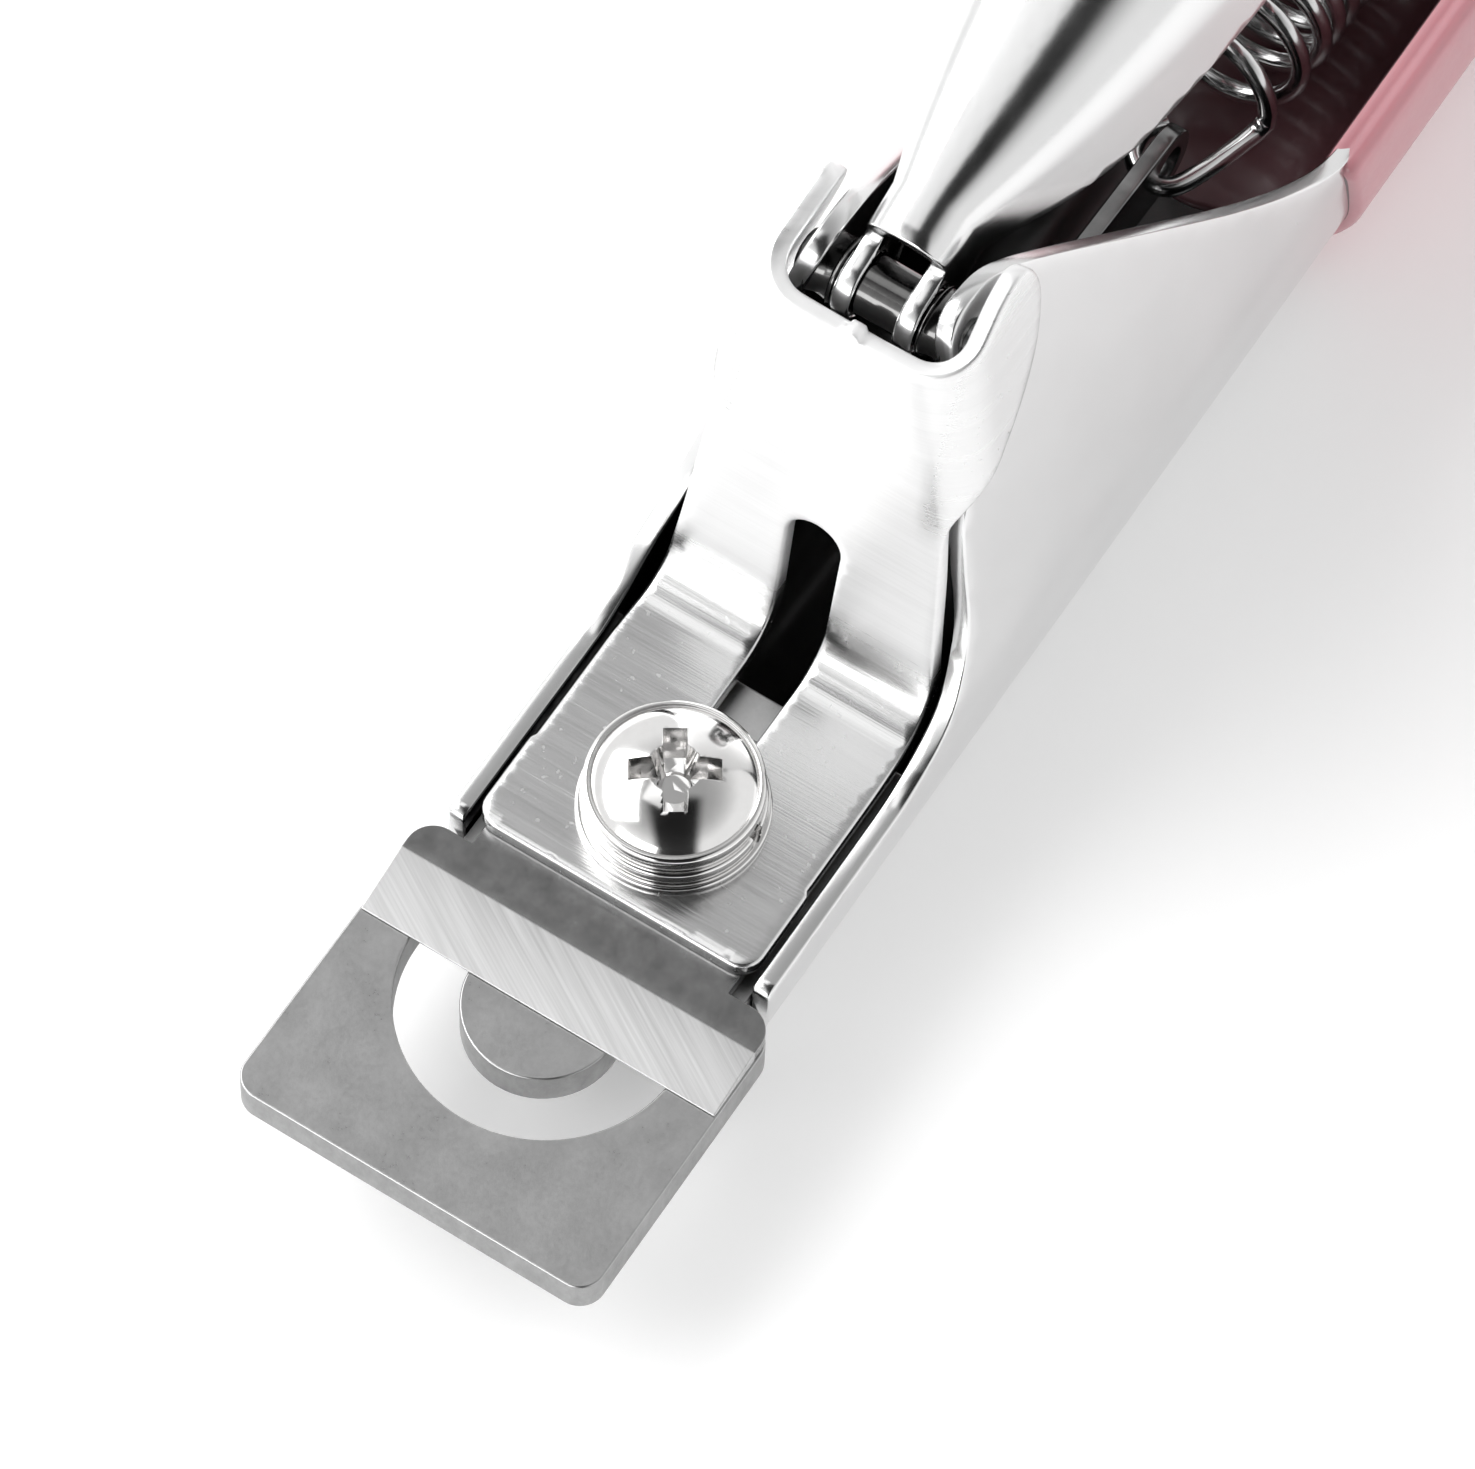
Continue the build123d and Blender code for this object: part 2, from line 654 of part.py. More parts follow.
def level_lever():
    """The lever lying level, with the pivot at the origin."""
    shell = lever_solid(0, 0, LEVER_LONG - GRIP_OUT, -12) - lever_solid(SHEET, -1, LEVER_LONG, -14)
    shell = shell & lever_side(0)
    front = lever_solid(0, 0, 3.0, -12) - lever_solid(SHEET, -1, 4, -14)
    front = front & box(-3.05, -1.6, -5, 5, 0.4, 6)
    body = shell + front + cheek(-1) + cheek(1)
    body = body & Pos(-LEVER_LONG + GRIP_OUT - REAR_X, 0, 0) * plan_end(REAR_X, 20, 200)
    return body - rod_y(0, 0, PIVOT_R + PIVOT_FIT + 0.3, -8, 8)


def place_lever(shape):
    """Turn a level piece up to its rest angle and put it on the pivot."""
    return Pos(PIVOT_X, 0, PIVOT_Z) * Rot(0, LEVER_ANGLE, 0) * shape


def upper_handle():
    return place_lever(level_lever())


def upper_grip():
    outer = lever_solid(-GRIP_OUT, LEVER_GRIP_U, LEVER_LONG, -12)
    inner = lever_solid(SHEET + GRIP_IN, LEVER_GRIP_U - 1, LEVER_LONG + 1, -14)
    body = (outer - inner) & lever_side(GRIP_OUT)
    body = body & Pos(-LEVER_LONG - REAR_X, 0, 0) * plan_end(REAR_X, 20, 200)
    body -= rod_y(-LEVER_GRIP_U + 6.4, -4.6, 7.4, -20, 20)
    return place_lever(body - level_lever())


def lever_sleeve():
    """The bush that the lever's cheeks are pressed on, turning on the pin."""
    sleeve = rod_y(0, 0, PIVOT_R + PIVOT_FIT + 0.3, -CHEEK_OUT, CHEEK_OUT)
    return place_lever(sleeve - rod_y(0, 0, PIVOT_R + PIVOT_FIT, -8, 8))


# ---- spring ----
def hook(eye_x, coil_x):
    """A wire loop from the last coil to an eye."""
    wire = SPRING_WIRE / 2
    side = 1 if eye_x > coil_x else -1
    loop_r = 1.5
    centre = eye_x - side * (loop_r - 0.25)
    loop = Pos(centre, 0, SPRING_Z) * Torus(loop_r, wire - 0.05)
    neck = rod_x(0, SPRING_Z, wire, min(centre - side * loop_r, coil_x), max(centre - side * loop_r, coil_x))
    return loop + neck


def return_spring():
    coil = rod_x(0, SPRING_Z, SPRING_R, SPRING_REAR_X, SPRING_FRONT_X)
    bore = SPRING_R - SPRING_WIRE
    coil -= rod_x(0, SPRING_Z, bore, SPRING_REAR_X + SPRING_WIRE, SPRING_FRONT_X - SPRING_WIRE)
    return coil + hook(LINK_EYE_X, SPRING_FRONT_X) + hook(ANCHOR_X, SPRING_REAR_X)


def spring_anchor():
    """An upright lug riveted to the channel's floor."""
    floor = HANDLE_FLOOR + SHEET
    half = LINK_T / 2
    foot = box(ANCHOR_X - 5.6, ANCHOR_X + 1.0, -2.2, 2.2, floor, floor + 0.8)
    post = box(ANCHOR_X - 1.9, ANCHOR_X + 1.0, -half, half, floor, SPRING_Z)
    post += rod_y(ANCHOR_X - 0.2, SPRING_Z, 1.7, -half, half)
    body = foot + post - rod_y(ANCHOR_X, SPRING_Z, EYE_R, -8, 8)
    return body - rod_z(ANCHOR_RIVET_X, 0, RIVET_R, 0, 4)


def anchor_rivet():
    floor = HANDLE_FLOOR + SHEET
    wide = RIVET_R + ANCHOR_RIVET_LIP
    shank = rod_z(ANCHOR_RIVET_X, 0, RIVET_R, RIVET_FACE, floor + 0.8)
    top = rod_z(ANCHOR_RIVET_X, 0, wide, floor + 0.8, floor + 1.3)
    return shank + top + rod_z(ANCHOR_RIVET_X, 0, wide, RIVET_FACE, HANDLE_FLOOR)


NODES = {
    "lower_handle": lower_handle,
    "lower_grip": lower_grip,
    "head_plate": head_plate,
    "head_bed": head_bed,
    "head_rivets": head_rivets,
    "pivot_pin": pivot_pin,
    "pivot_spacers": pivot_spacers,
    "slide_cover": slide_cover,
    "blade": blade,
    "clamp_screw": clamp_screw,
    "lock_washer": lock_washer,
    "flat_washer": flat_washer,
    "nut_washer": nut_washer,
    "slide_nut": slide_nut,
    "drive_lugs": drive_lugs,
    "drive_pin": drive_pin,
    "pull_link": pull_link,
    "upper_handle": upper_handle,
    "upper_grip": upper_grip,
    "lever_sleeve": lever_sleeve,
    "return_spring": return_spring,
    "spring_anchor": spring_anchor,
    "anchor_rivet": anchor_rivet,
}

for node_name, maker in NODES.items():
    export(maker(), node_name)
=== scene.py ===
"""Looks for the lever nail-tip cutter: bent sheet steel, plated hardware, a coil spring and dipped grips."""
from math import acos, asin, atan, ceil, cos, exp, pi, radians, sin, sqrt, tan

import bmesh
import bpy
import numpy as np
from mathutils import Matrix, Vector
from mathutils.geometry import delaunay_2d_cdt
from mathutils.kdtree import KDTree


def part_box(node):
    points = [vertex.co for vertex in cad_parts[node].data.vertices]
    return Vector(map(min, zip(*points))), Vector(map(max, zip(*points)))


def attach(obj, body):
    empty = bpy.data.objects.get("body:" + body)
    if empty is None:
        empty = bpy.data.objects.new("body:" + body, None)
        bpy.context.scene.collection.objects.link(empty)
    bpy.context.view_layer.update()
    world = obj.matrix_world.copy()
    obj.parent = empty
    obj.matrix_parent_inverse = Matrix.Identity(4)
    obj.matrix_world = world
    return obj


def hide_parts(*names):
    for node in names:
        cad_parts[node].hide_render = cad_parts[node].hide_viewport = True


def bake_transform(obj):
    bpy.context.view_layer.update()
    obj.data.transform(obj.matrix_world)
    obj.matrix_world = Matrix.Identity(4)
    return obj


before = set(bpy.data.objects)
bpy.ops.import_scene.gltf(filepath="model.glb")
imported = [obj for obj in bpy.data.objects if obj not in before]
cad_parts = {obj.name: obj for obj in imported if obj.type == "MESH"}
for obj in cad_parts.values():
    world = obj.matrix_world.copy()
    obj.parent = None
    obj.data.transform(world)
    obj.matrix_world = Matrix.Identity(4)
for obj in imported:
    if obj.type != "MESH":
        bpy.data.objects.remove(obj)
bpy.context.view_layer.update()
MM = 0.001
WALL_BACK = 14.9


# ---------------------------------------------------------------- camera first
VIEW_TARGET = Vector((37.7, -6.5, -16.9)) * MM
VIEW_AZIMUTH = radians(30)
VIEW_HEIGHT = radians(62)
VIEW_ROLL = radians(3)
VIEW_DISTANCE = 400 * MM
SENSOR = 36.0
FOCAL = 8500 / 1475 * SENSOR


def direction(azimuth, height):
    """The way to something that stands at an azimuth and a height, both in radians."""
    return Vector((cos(azimuth) * cos(height), sin(azimuth) * cos(height), sin(height)))


def make_camera():
    """A long lens from the front right, well above the tool."""
    towards = direction(VIEW_AZIMUTH, VIEW_HEIGHT)
    right = Vector((-sin(VIEW_AZIMUTH), cos(VIEW_AZIMUTH), 0))
    up = towards.cross(right)
    across = right * cos(VIEW_ROLL) + up * sin(VIEW_ROLL)
    upright = up * cos(VIEW_ROLL) - right * sin(VIEW_ROLL)
    turn = Matrix((across, upright, towards)).transposed().to_4x4()
    lens = bpy.data.cameras.new("camera")
    lens.sensor_width = SENSOR
    lens.lens = FOCAL
    lens.clip_start = 0.01
    camera = bpy.data.objects.new("camera", lens)
    camera.matrix_world = Matrix.Translation(VIEW_TARGET + towards * VIEW_DISTANCE) @ turn
    bpy.context.scene.collection.objects.link(camera)
    bpy.context.scene.camera = camera


# ---------------------------------------------------------------- shader maths
class Field:
    """A number that varies over a surface, which Python's operators work on."""

    def __init__(self, finish, socket):
        self.finish = finish
        self.socket = socket

    def maths(self, operation, *values):
        node = self.finish.node("ShaderNodeMath", {"operation": operation}, *values)
        return Field(self.finish, node.outputs[0])

    def __add__(self, other):
        return self.maths("ADD", self, other)

    def __sub__(self, other):
        return self.maths("SUBTRACT", self, other)

    def __mul__(self, other):
        return self.maths("MULTIPLY", self, other)

    def __rsub__(self, other):
        return self.maths("SUBTRACT", other, self)

    __radd__ = __add__
    __rmul__ = __mul__

    def at_least(self, other):
        return self.maths("MAXIMUM", self, other)

    def size(self):
        return self.maths("ABSOLUTE", self)

    def span(self, low, high):
        """0 below low, 1 above high, smooth between."""
        smooth = {"interpolation_type": "SMOOTHSTEP"}
        node = self.finish.node("ShaderNodeMapRange", smooth, self, low, high, 0.0, 1.0)
        return Field(self.finish, node.outputs[0])


class Finish:
    """A material and the one way its nodes are made."""

    def __init__(self, name, **sockets):
        self.material = bpy.data.materials.new(name)
        self.material.use_nodes = True
        self.tree = self.material.node_tree
        self.shader = self.tree.nodes["Principled BSDF"]
        for label, value in sockets.items():
            self.shader.inputs[label.replace("_", " ")].default_value = value
        self.place = self.node("ShaderNodeTexCoord").outputs["Object"]

    def node(self, kind, settings=None, *values, **named):
        node = self.tree.nodes.new(kind)
        for key, value in (settings or {}).items():
            setattr(node, key, value)
        for key, value in list(enumerate(values)) + list(named.items()):
            socket = node.inputs[key.replace("_", " ") if isinstance(key, str) else key]
            self.feed(socket, value)
        return node

    def feed(self, socket, value):
        if isinstance(value, Field):
            value = value.socket
        if isinstance(value, bpy.types.NodeSocket):
            self.tree.links.new(value, socket)
        else:
            socket.default_value = value

    def axes(self):
        """X, Y and Z of the point, in metres."""
        split = self.node("ShaderNodeSeparateXYZ", None, self.place)
        return [Field(self, socket) for socket in split.outputs]

    def vector(self, x, y, z):
        return self.node("ShaderNodeCombineXYZ", None, x, y, z).outputs[0]

    def noise(self, vector, scale, detail=3.0, roughness=0.55):
        grain = {"Vector": vector, "Scale": scale, "Detail": detail, "Roughness": roughness}
        return Field(self, self.node("ShaderNodeTexNoise", None, **grain).outputs["Fac"])

    def mix(self, share, first, second):
        node = self.node("ShaderNodeMix", {"data_type": "RGBA"})
        self.feed(node.inputs[0], share)
        self.feed(node.inputs[6], first)
        self.feed(node.inputs[7], second)
        return node.outputs[2]

    def bump(self, height, depth, strength=1.0):
        node = self.node("ShaderNodeBump", None, Height=height, Distance=depth, Strength=strength)
        self.feed(self.shader.inputs["Normal"], node.outputs["Normal"])

    def paint(self, label, value):
        self.feed(self.shader.inputs[label], value)


def grey(value, warm=0.0):
    """A grey, a little warmer or cooler."""
    return (value + warm, value, value - warm, 1.0)


# ---------------------------------------------------------------- finishes
def brushed_sheet():
    """Sheet brushed across its width; the lines follow it round its bends. The upright wall is painted
    lighter, less metallic and more matt: painted light standing in for the light that falls on that wall.
    """
    finish = Finish("brushed sheet", Metallic=1.0)
    x, y, z = finish.axes()
    bend_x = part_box("slide_cover")[1].x - WALL_BACK * MM
    along = z - (x - bend_x).at_least(0.0)
    # side and wall mask the upright wall, less so on its wing sides; there the sheet is painted lighter and
    # less metallic: painted light.
    side = y.size().span(4.2 * MM, 5.4 * MM) * z.span(20.0 * MM, 23.0 * MM)
    wall = z.span(10.5 * MM, 13.5 * MM) * (1 - side * 0.85)
    lines = finish.noise(finish.vector(along * 9000, (y + x) * 160, 0.0), 1.0, 2.0)
    broad = finish.noise(finish.vector(along * 1500, (y + x) * 60, 0.3), 1.0, 3.0)
    specks = finish.noise(finish.place, 2600.0, 1.0).span(0.70, 0.76)
    # tone: brushed lines and broad streaks, plus painted light on the upright wall.
    tone = lines * 0.10 + broad * 0.08 + 0.66 + wall * 0.14
    finish.paint("Base Color", finish.mix(tone, grey(0.0), grey(1.0)))
    finish.paint("Metallic", 1 - wall * 0.6)
    finish.paint("Roughness", lines * 0.16 + broad * 0.08 + specks * 0.1 + 0.11 + wall * 0.12)
    finish.bump(lines * 0.7 + broad * 0.3, 0.012 * MM, 0.8)
    return finish.material


def channel_shade(finish, level, slope):
    """1 on the faces that look into a channel whose middle runs at level + slope * x, 0 outside: the mask for
    the painted shade inside the channel.
    """
    x, y, z = finish.axes()
    facing = finish.node("ShaderNodeTexCoord").outputs["Normal"]
    split = finish.node("ShaderNodeSeparateXYZ", None, facing)
    across, up = Field(finish, split.outputs[1]), Field(finish, split.outputs[2])
    outwards = y * across + (z - level - x * slope) * up
    return (0.0 - outwards * 1000).span(0.0, 0.6)


def polished_sheet(name, level, slope):
    """Bright handle steel with faint press and handling marks, dull and dark inside the channel, where shade
    is painted into the colour.
    """
    finish = Finish(name, Metallic=1.0)
    x, y, z = finish.axes()
    drawn = finish.noise(finish.vector(x * 90, y * 2600, z * 2600), 1.0, 2.0)
    cloudy = finish.noise(finish.place, 240.0, 3.0)
    marks = finish.noise(finish.vector(x * 700, y * 260, z * 900), 1.0, 4.0).span(0.62, 0.75)
    # Inside the channel the base colour is darkened by 93 per cent: painted shade.
    tone = (cloudy * 0.08 + 0.74) * (1 - channel_shade(finish, level, slope) * 0.93)
    finish.paint("Base Color", finish.mix(tone, grey(0.0), grey(1.0)))
    finish.paint("Roughness", cloudy * 0.10 + marks * 0.06 + drawn * 0.05 + 0.13)
    finish.bump(drawn * 0.5 + cloudy * 0.5, 0.003 * MM, 0.4)
    return finish.material


def plate_steel():
    """Tumbled satin plate with coarse sheared sides."""
    finish = Finish("plate steel", Metallic=1.0)
    normal = finish.node("ShaderNodeTexCoord").outputs["Normal"]
    lean = Field(finish, finish.node("ShaderNodeSeparateXYZ", None, normal).outputs[2])
    side = 1 - lean.size().span(0.25, 0.6)
    fine = finish.noise(finish.place, 5200.0, 3.0, 0.7)
    cloudy = finish.noise(finish.place, 420.0, 3.0)
    x, y, z = finish.axes()
    torn = finish.noise(finish.vector(x * 1500, y * 1500, z * 700), 1.0, 4.0, 0.7)
    tone = fine * 0.10 + cloudy * 0.14 + 0.36 - side * torn * 0.22
    finish.paint("Base Color", finish.mix(tone, grey(0.0), grey(1.0)))
    finish.paint("Roughness", fine * 0.14 + cloudy * 0.08 + side * 0.22 + 0.20)
    finish.bump(fine * 0.35 + side * torn * 2.5, 0.012 * MM, 0.6)
    return finish.material


def blade_steel():
    """A dark oiled back and a bevel ground bright, with slanted wheel marks."""
    finish = Finish("blade steel", Metallic=1.0)
    low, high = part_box("blade")
    x, y, z = finish.axes()
    bevel = (x - (high.x - 3.25 * MM)).span(0.0, 0.12 * MM)
    slant = x * 0.87 - y * 0.49
    runs = x * 0.49 + y * 0.87
    wheel = finish.noise(finish.vector(slant * 6500, runs * 130, 0.0), 1.0, 2.0)
    band = finish.noise(finish.vector(slant * 1100, runs * 60, 0.6), 1.0, 2.0)
    mottle = finish.noise(finish.place, 900.0, 4.0, 0.65)
    ground = wheel * 0.30 + band * 0.14 + 0.40
    dark = mottle * 0.16 + 0.20
    tone = ground * bevel + dark * (1 - bevel)
    finish.paint("Base Color", finish.mix(tone, grey(0.0), grey(1.0)))
    finish.paint("Roughness", bevel * (wheel * 0.20 + 0.30) + (1 - bevel) * (mottle * 0.16 + 0.16))
    finish.bump(wheel * bevel + mottle * 0.2, 0.006 * MM, 0.6)
    return finish.material


def bright_hardware(name="bright hardware", tone=0.80, rough=0.06):
    """Nickel-plated screws, washers and rivets."""
    finish = Finish(name, Metallic=1.0)
    wear = finish.noise(finish.place, 1500.0, 4.0, 0.6)
    spots = finish.noise(finish.place, 420.0, 2.0)
    finish.paint("Base Color", finish.mix(wear * 0.08 + tone - 0.04, grey(0.0), grey(1.0, 0.008)))
    finish.paint("Roughness", wear * 0.07 + spots * 0.05 + rough)
    finish.bump(wear, 0.004 * MM, 0.3)
    return finish.material


def dark_steel():
    """Oiled dark steel of the hidden drive pieces."""
    finish = Finish("dark steel", Metallic=1.0)
    wear = finish.noise(finish.place, 1100.0, 4.0, 0.6)
    rub = finish.noise(finish.place, 300.0, 3.0).span(0.52, 0.7)
    finish.paint("Base Color", finish.mix(wear * 0.10 + rub * 0.08 + 0.12, grey(0.0), grey(1.0)))
    finish.paint("Roughness", wear * 0.14 + 0.16 - rub * 0.05)
    finish.bump(wear, 0.008 * MM, 0.4)
    return finish.material


def spring_wire():
    """Drawn wire: bright, with die lines along it."""
    finish = Finish("spring wire", Metallic=1.0)
    lines = finish.noise(finish.place, 3800.0, 3.0)
    cloudy = finish.noise(finish.place, 350.0, 2.0)
    finish.paint("Base Color", finish.mix(lines * 0.10 + cloudy * 0.12 + 0.60, grey(0.0), grey(1.0)))
    finish.paint("Roughness", lines * 0.10 + cloudy * 0.06 + 0.10)
    finish.bump(lines, 0.005 * MM, 0.35)
    return finish.material


def pink_vinyl(name, level, slope):
    """Soft dipped vinyl: glossy, a little uneven, faintly rippled along its length, and painted dark maroon
    inside the channel as painted shade.
    """
    finish = Finish(
        name, Metallic=0.0, Coat_Weight=0.35, Coat_Roughness=0.12, Specular_IOR_Level=0.5,
        Subsurface_Weight=0.12, Subsurface_Scale=0.0012, Subsurface_Radius=(1.0, 0.35, 0.35),
    )
    x, y, z = finish.axes()
    ripple = finish.noise(finish.vector(x * 60, y * 420, z * 420), 1.0, 2.0)
    cloudy = finish.noise(finish.place, 130.0, 3.0)
    skin = finish.noise(finish.place, 3200.0, 3.0, 0.6)
    outside = finish.mix(cloudy * 0.5 + ripple * 0.3, (0.50, 0.215, 0.245, 1), (0.66, 0.31, 0.345, 1))
    # Inside the channel the pink gives way to a dark maroon: painted shade, the vinyl there is the same pink.
    finish.paint("Base Color", finish.mix(channel_shade(finish, level, slope), outside, (0.085, 0.03, 0.036, 1)))
    finish.paint("Roughness", skin * 0.12 + cloudy * 0.10 + 0.24)
    finish.bump(ripple * 1.0 + skin * 0.05, 0.05 * MM, 0.5)
    return finish.material


# ---------------------------------------------------------------- mesh tools
def make_piece(name, points, faces, finish):
    """A mesh object with merged points, outward faces and smooth shading."""
    mesh = bpy.data.meshes.new(name)
    mesh.from_pydata([tuple(p) for p in points], [], faces)
    work = bmesh.new()
    work.from_mesh(mesh)
    bmesh.ops.remove_doubles(work, verts=work.verts, dist=1e-7)
    bmesh.ops.recalc_face_normals(work, faces=work.faces)
    for face in work.faces:
        face.smooth = True
    work.to_mesh(mesh)
    work.free()
    mesh.materials.append(finish)
    piece = bpy.data.objects.new(name, mesh)
    bpy.context.scene.collection.objects.link(piece)
    return piece


def settle(piece):
    """Make the modifiers' result the piece's own mesh."""
    graph = bpy.context.evaluated_depsgraph_get()
    mesh = bpy.data.meshes.new_from_object(piece.evaluated_get(graph))
    piece.modifiers.clear()
    piece.data = mesh
    return piece


def weigh_normals(piece):
    """Keep large faces flat and let only the eased edges turn."""
    weights = piece.modifiers.new("weights", "WEIGHTED_NORMAL")
    weights.keep_sharp = True
    return settle(piece)


def ease_edges(piece, width, segments=2, angle=32):
    """Round every edge sharper than the angle."""
    bevel = piece.modifiers.new("ease", "BEVEL")
    bevel.width = width
    bevel.segments = segments
    bevel.limit_method = "ANGLE"
    bevel.angle_limit = radians(angle)
    bevel.use_clamp_overlap = True
    settle(piece)
    for face in piece.data.polygons:
        face.use_smooth = True
    return weigh_normals(piece)


def eased_node(node, finish, width, body):
    """The node's own shape with its edges eased."""
    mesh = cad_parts[node].data.copy()
    work = bmesh.new()
    work.from_mesh(mesh)
    bmesh.ops.remove_doubles(work, verts=work.verts, dist=2e-6)
    bmesh.ops.dissolve_limit(work, angle_limit=radians(0.6), verts=work.verts, edges=work.edges)
    work.to_mesh(mesh)
    work.free()
    mesh.materials.clear()
    mesh.materials.append(finish)
    piece = bpy.data.objects.new("eased_" + node, mesh)
    bpy.context.scene.collection.objects.link(piece)
    ease_edges(piece, width)
    return stand_for(piece, node, body)


def stand_for(piece, node, body):
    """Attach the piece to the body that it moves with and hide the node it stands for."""
    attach(piece, body)
    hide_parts(node)
    return piece


def lathe(name, profile, centre, axis, finish, steps=64):
    """Turn a closed profile of (radius, distance along the axis) about the axis."""
    along = Vector(axis).normalized()
    first = along.orthogonal().normalized()
    second = along.cross(first)
    points = []
    faces = []
    for step in range(steps):
        turn = 2 * pi * step / steps
        out = first * cos(turn) + second * sin(turn)
        points += [Vector(centre) + out * radius + along * rise for radius, rise in profile]
    count = len(profile)
    for step in range(steps):
        here = step * count
        there = (step + 1) % steps * count
        for k in range(count):
            nxt = (k + 1) % count
            faces.append((here + k, here + nxt, there + nxt, there + k))
    return make_piece(name, points, faces, finish)


def rounded(corners, radius, steps=4):
    """Closed corners with each one rounded by a quadratic curve."""
    result = []
    for k, corner in enumerate(corners):
        before = Vector(corners[k - 1])
        here = Vector(corner)
        after = Vector(corners[(k + 1) % len(corners)])
        cut = min(radius, (before - here).length * 0.45, (after - here).length * 0.45)
        a = here + (before - here).normalized() * cut
        b = here + (after - here).normalized() * cut
        for step in range(steps + 1):
            t = step / steps
            result.append(tuple(a * (1 - t) ** 2 + here * (2 * t * (1 - t)) + b * t**2))
    return result


def smooth_path(points, steps=8):
    """Points along a curve through the given points."""
    pts = [Vector(p) for p in points]
    pts = [pts[0] * 2 - pts[1]] + pts + [pts[-1] * 2 - pts[-2]]
    result = []
    for k in range(1, len(pts) - 2):
        p0, p1, p2, p3 = pts[k - 1 : k + 3]
        for step in range(steps):
            t = step / steps
            square = (p0 * 2 - p1 * 5 + p2 * 4 - p3) * t**2
            cube = (p1 * 3 - p0 - p2 * 3 + p3) * t**3
            result.append((p1 * 2 + (p2 - p0) * t + square + cube) * 0.5)
    result.append(pts[-2])
    return [tuple(p) for p in result]


def arc(centre, radius, start, end, steps=12):
    """Points on an arc, angles in degrees."""
    return [
        (
            centre[0] + radius * cos(radians(start + (end - start) * k / steps)),
            centre[1] + radius * sin(radians(start + (end - start) * k / steps)),
        )
        for k in range(steps + 1)
    ]


def evened(loop, gap):
    """The loop without repeated points and with none further apart than gap."""
    result = []
    for k, point in enumerate(loop):
        here = Vector(point)
        after = Vector(loop[(k + 1) % len(loop)])
        length = (after - here).length
        if length < 1e-6:
            continue
        count = max(1, ceil(length / gap))
        result += [here.lerp(after, step / count) for step in range(count)]
    return result


def area(loop):
    """A loop's area, positive when it runs anticlockwise."""
    return sum(a.x * b.y - b.x * a.y for a, b in zip(loop, loop[1:] + loop[:1])) / 2


def inset(loop, distance):
    """Move every point of a loop to its left by the distance."""
    result = []
    for k, here in enumerate(loop):
        before = (here - loop[k - 1]).normalized()
        after = (loop[(k + 1) % len(loop)] - here).normalized()
        left = Vector((-before.y - after.y, before.x + after.x))
        if left.length < 1e-6:
            left = Vector((-before.y, before.x))
        left.normalize()
        reach = max(left.dot(Vector((-before.y, before.x))), 0.5)
        result.append(here + left * (distance / reach))
    return result


def inside(points, loops):
    """Which of the points lie in the first loop and in none of its holes."""
    x, y = np.array(points, float).T
    crossed = np.zeros(len(points), bool)
    for loop in loops:
        for k, b in enumerate(loop):
            a = loop[k - 1]
            if a.y != b.y:
                spans = (a.y > y) != (b.y > y)
                crossed ^= spans & (x < (b.x - a.x) * (y - a.y) / (b.y - a.y) + a.x)
    return crossed


def sheet_metal(name, outline, holes, surface, rim, gap, finish):
    """A bent sheet: a flat outline with holes, laid on a surface.

    surface(a, b) is the sheet's outer face in millimetres. rim lists (inset, depth) pairs from the outer
    face round the sheet's edge to the inner face.
    """
    loops = []
    for k, loop in enumerate([outline] + holes):
        loop = evened(loop, gap)
        if (area(loop) > 0) != (k == 0):
            loop.reverse()
        loops.append(loop)
    edge = [inset(loop, rim[0][0]) for loop in loops]
    flat = [p for loop in edge for p in loop]
    lines = []
    start = 0
    for loop in edge:
        count = len(loop)
        lines += [(start + k, start + (k + 1) % count) for k in range(count)]
        start += count
    near = KDTree(len(flat))
    for k, point in enumerate(flat):
        near.insert((point.x, point.y, 0), k)
    near.balance()
    low = Vector((min(p.x for p in flat), min(p.y for p in flat)))
    high = Vector((max(p.x for p in flat), max(p.y for p in flat)))
    grid = [
        Vector((low.x + (i + 0.5) * gap, low.y + (j + 0.5 * (i % 2)) * gap))
        for i in range(int((high.x - low.x) / gap) + 1)
        for j in range(int((high.y - low.y) / gap) + 1)
    ]
    kept = inside(grid, edge)
    flat += [p for p, keep in zip(grid, kept) if keep and near.find((p.x, p.y, 0))[2] > 0.55 * gap]
    verts, _, tris, origin, _, _ = delaunay_2d_cdt(flat, lines, [], 0, 1e-5)
    middles = inside([sum((verts[v] for v in t), Vector((0, 0))) / 3 for t in tris], edge)
    tris = [t for t, keep in zip(tris, middles) if keep]
    index = {}
    for new, old in enumerate(origin):
        for k in old:
            index[k] = new

    def lay(point, depth):
        step = 0.02
        a, b = point.x, point.y
        run = surface(a + step, b) - surface(a - step, b)
        cross = surface(a, b + step) - surface(a, b - step)
        return (surface(a, b) + run.cross(cross).normalized() * depth) * MM

    count = len(verts)
    points = [lay(p, rim[0][1]) for p in verts] + [lay(p, rim[-1][1]) for p in verts]
    faces = [tuple(t) for t in tris] + [tuple(count + v for v in reversed(t)) for t in tris]
    start = 0
    for loop in loops:
        size = len(loop)
        rows = [[index[start + k] for k in range(size)]]
        for distance, depth in rim[1:-1]:
            first = len(points)
            points += [lay(p, depth) for p in inset(loop, distance)]
            rows.append(list(range(first, first + size)))
        rows.append([count + index[start + k] for k in range(size)])
        for upper, lower in zip(rows, rows[1:]):
            for k in range(size):
                nxt = (k + 1) % size
                faces.append((upper[k], upper[nxt], lower[nxt], lower[k]))
        start += size
    return weigh_normals(make_piece(name, points, faces, finish))


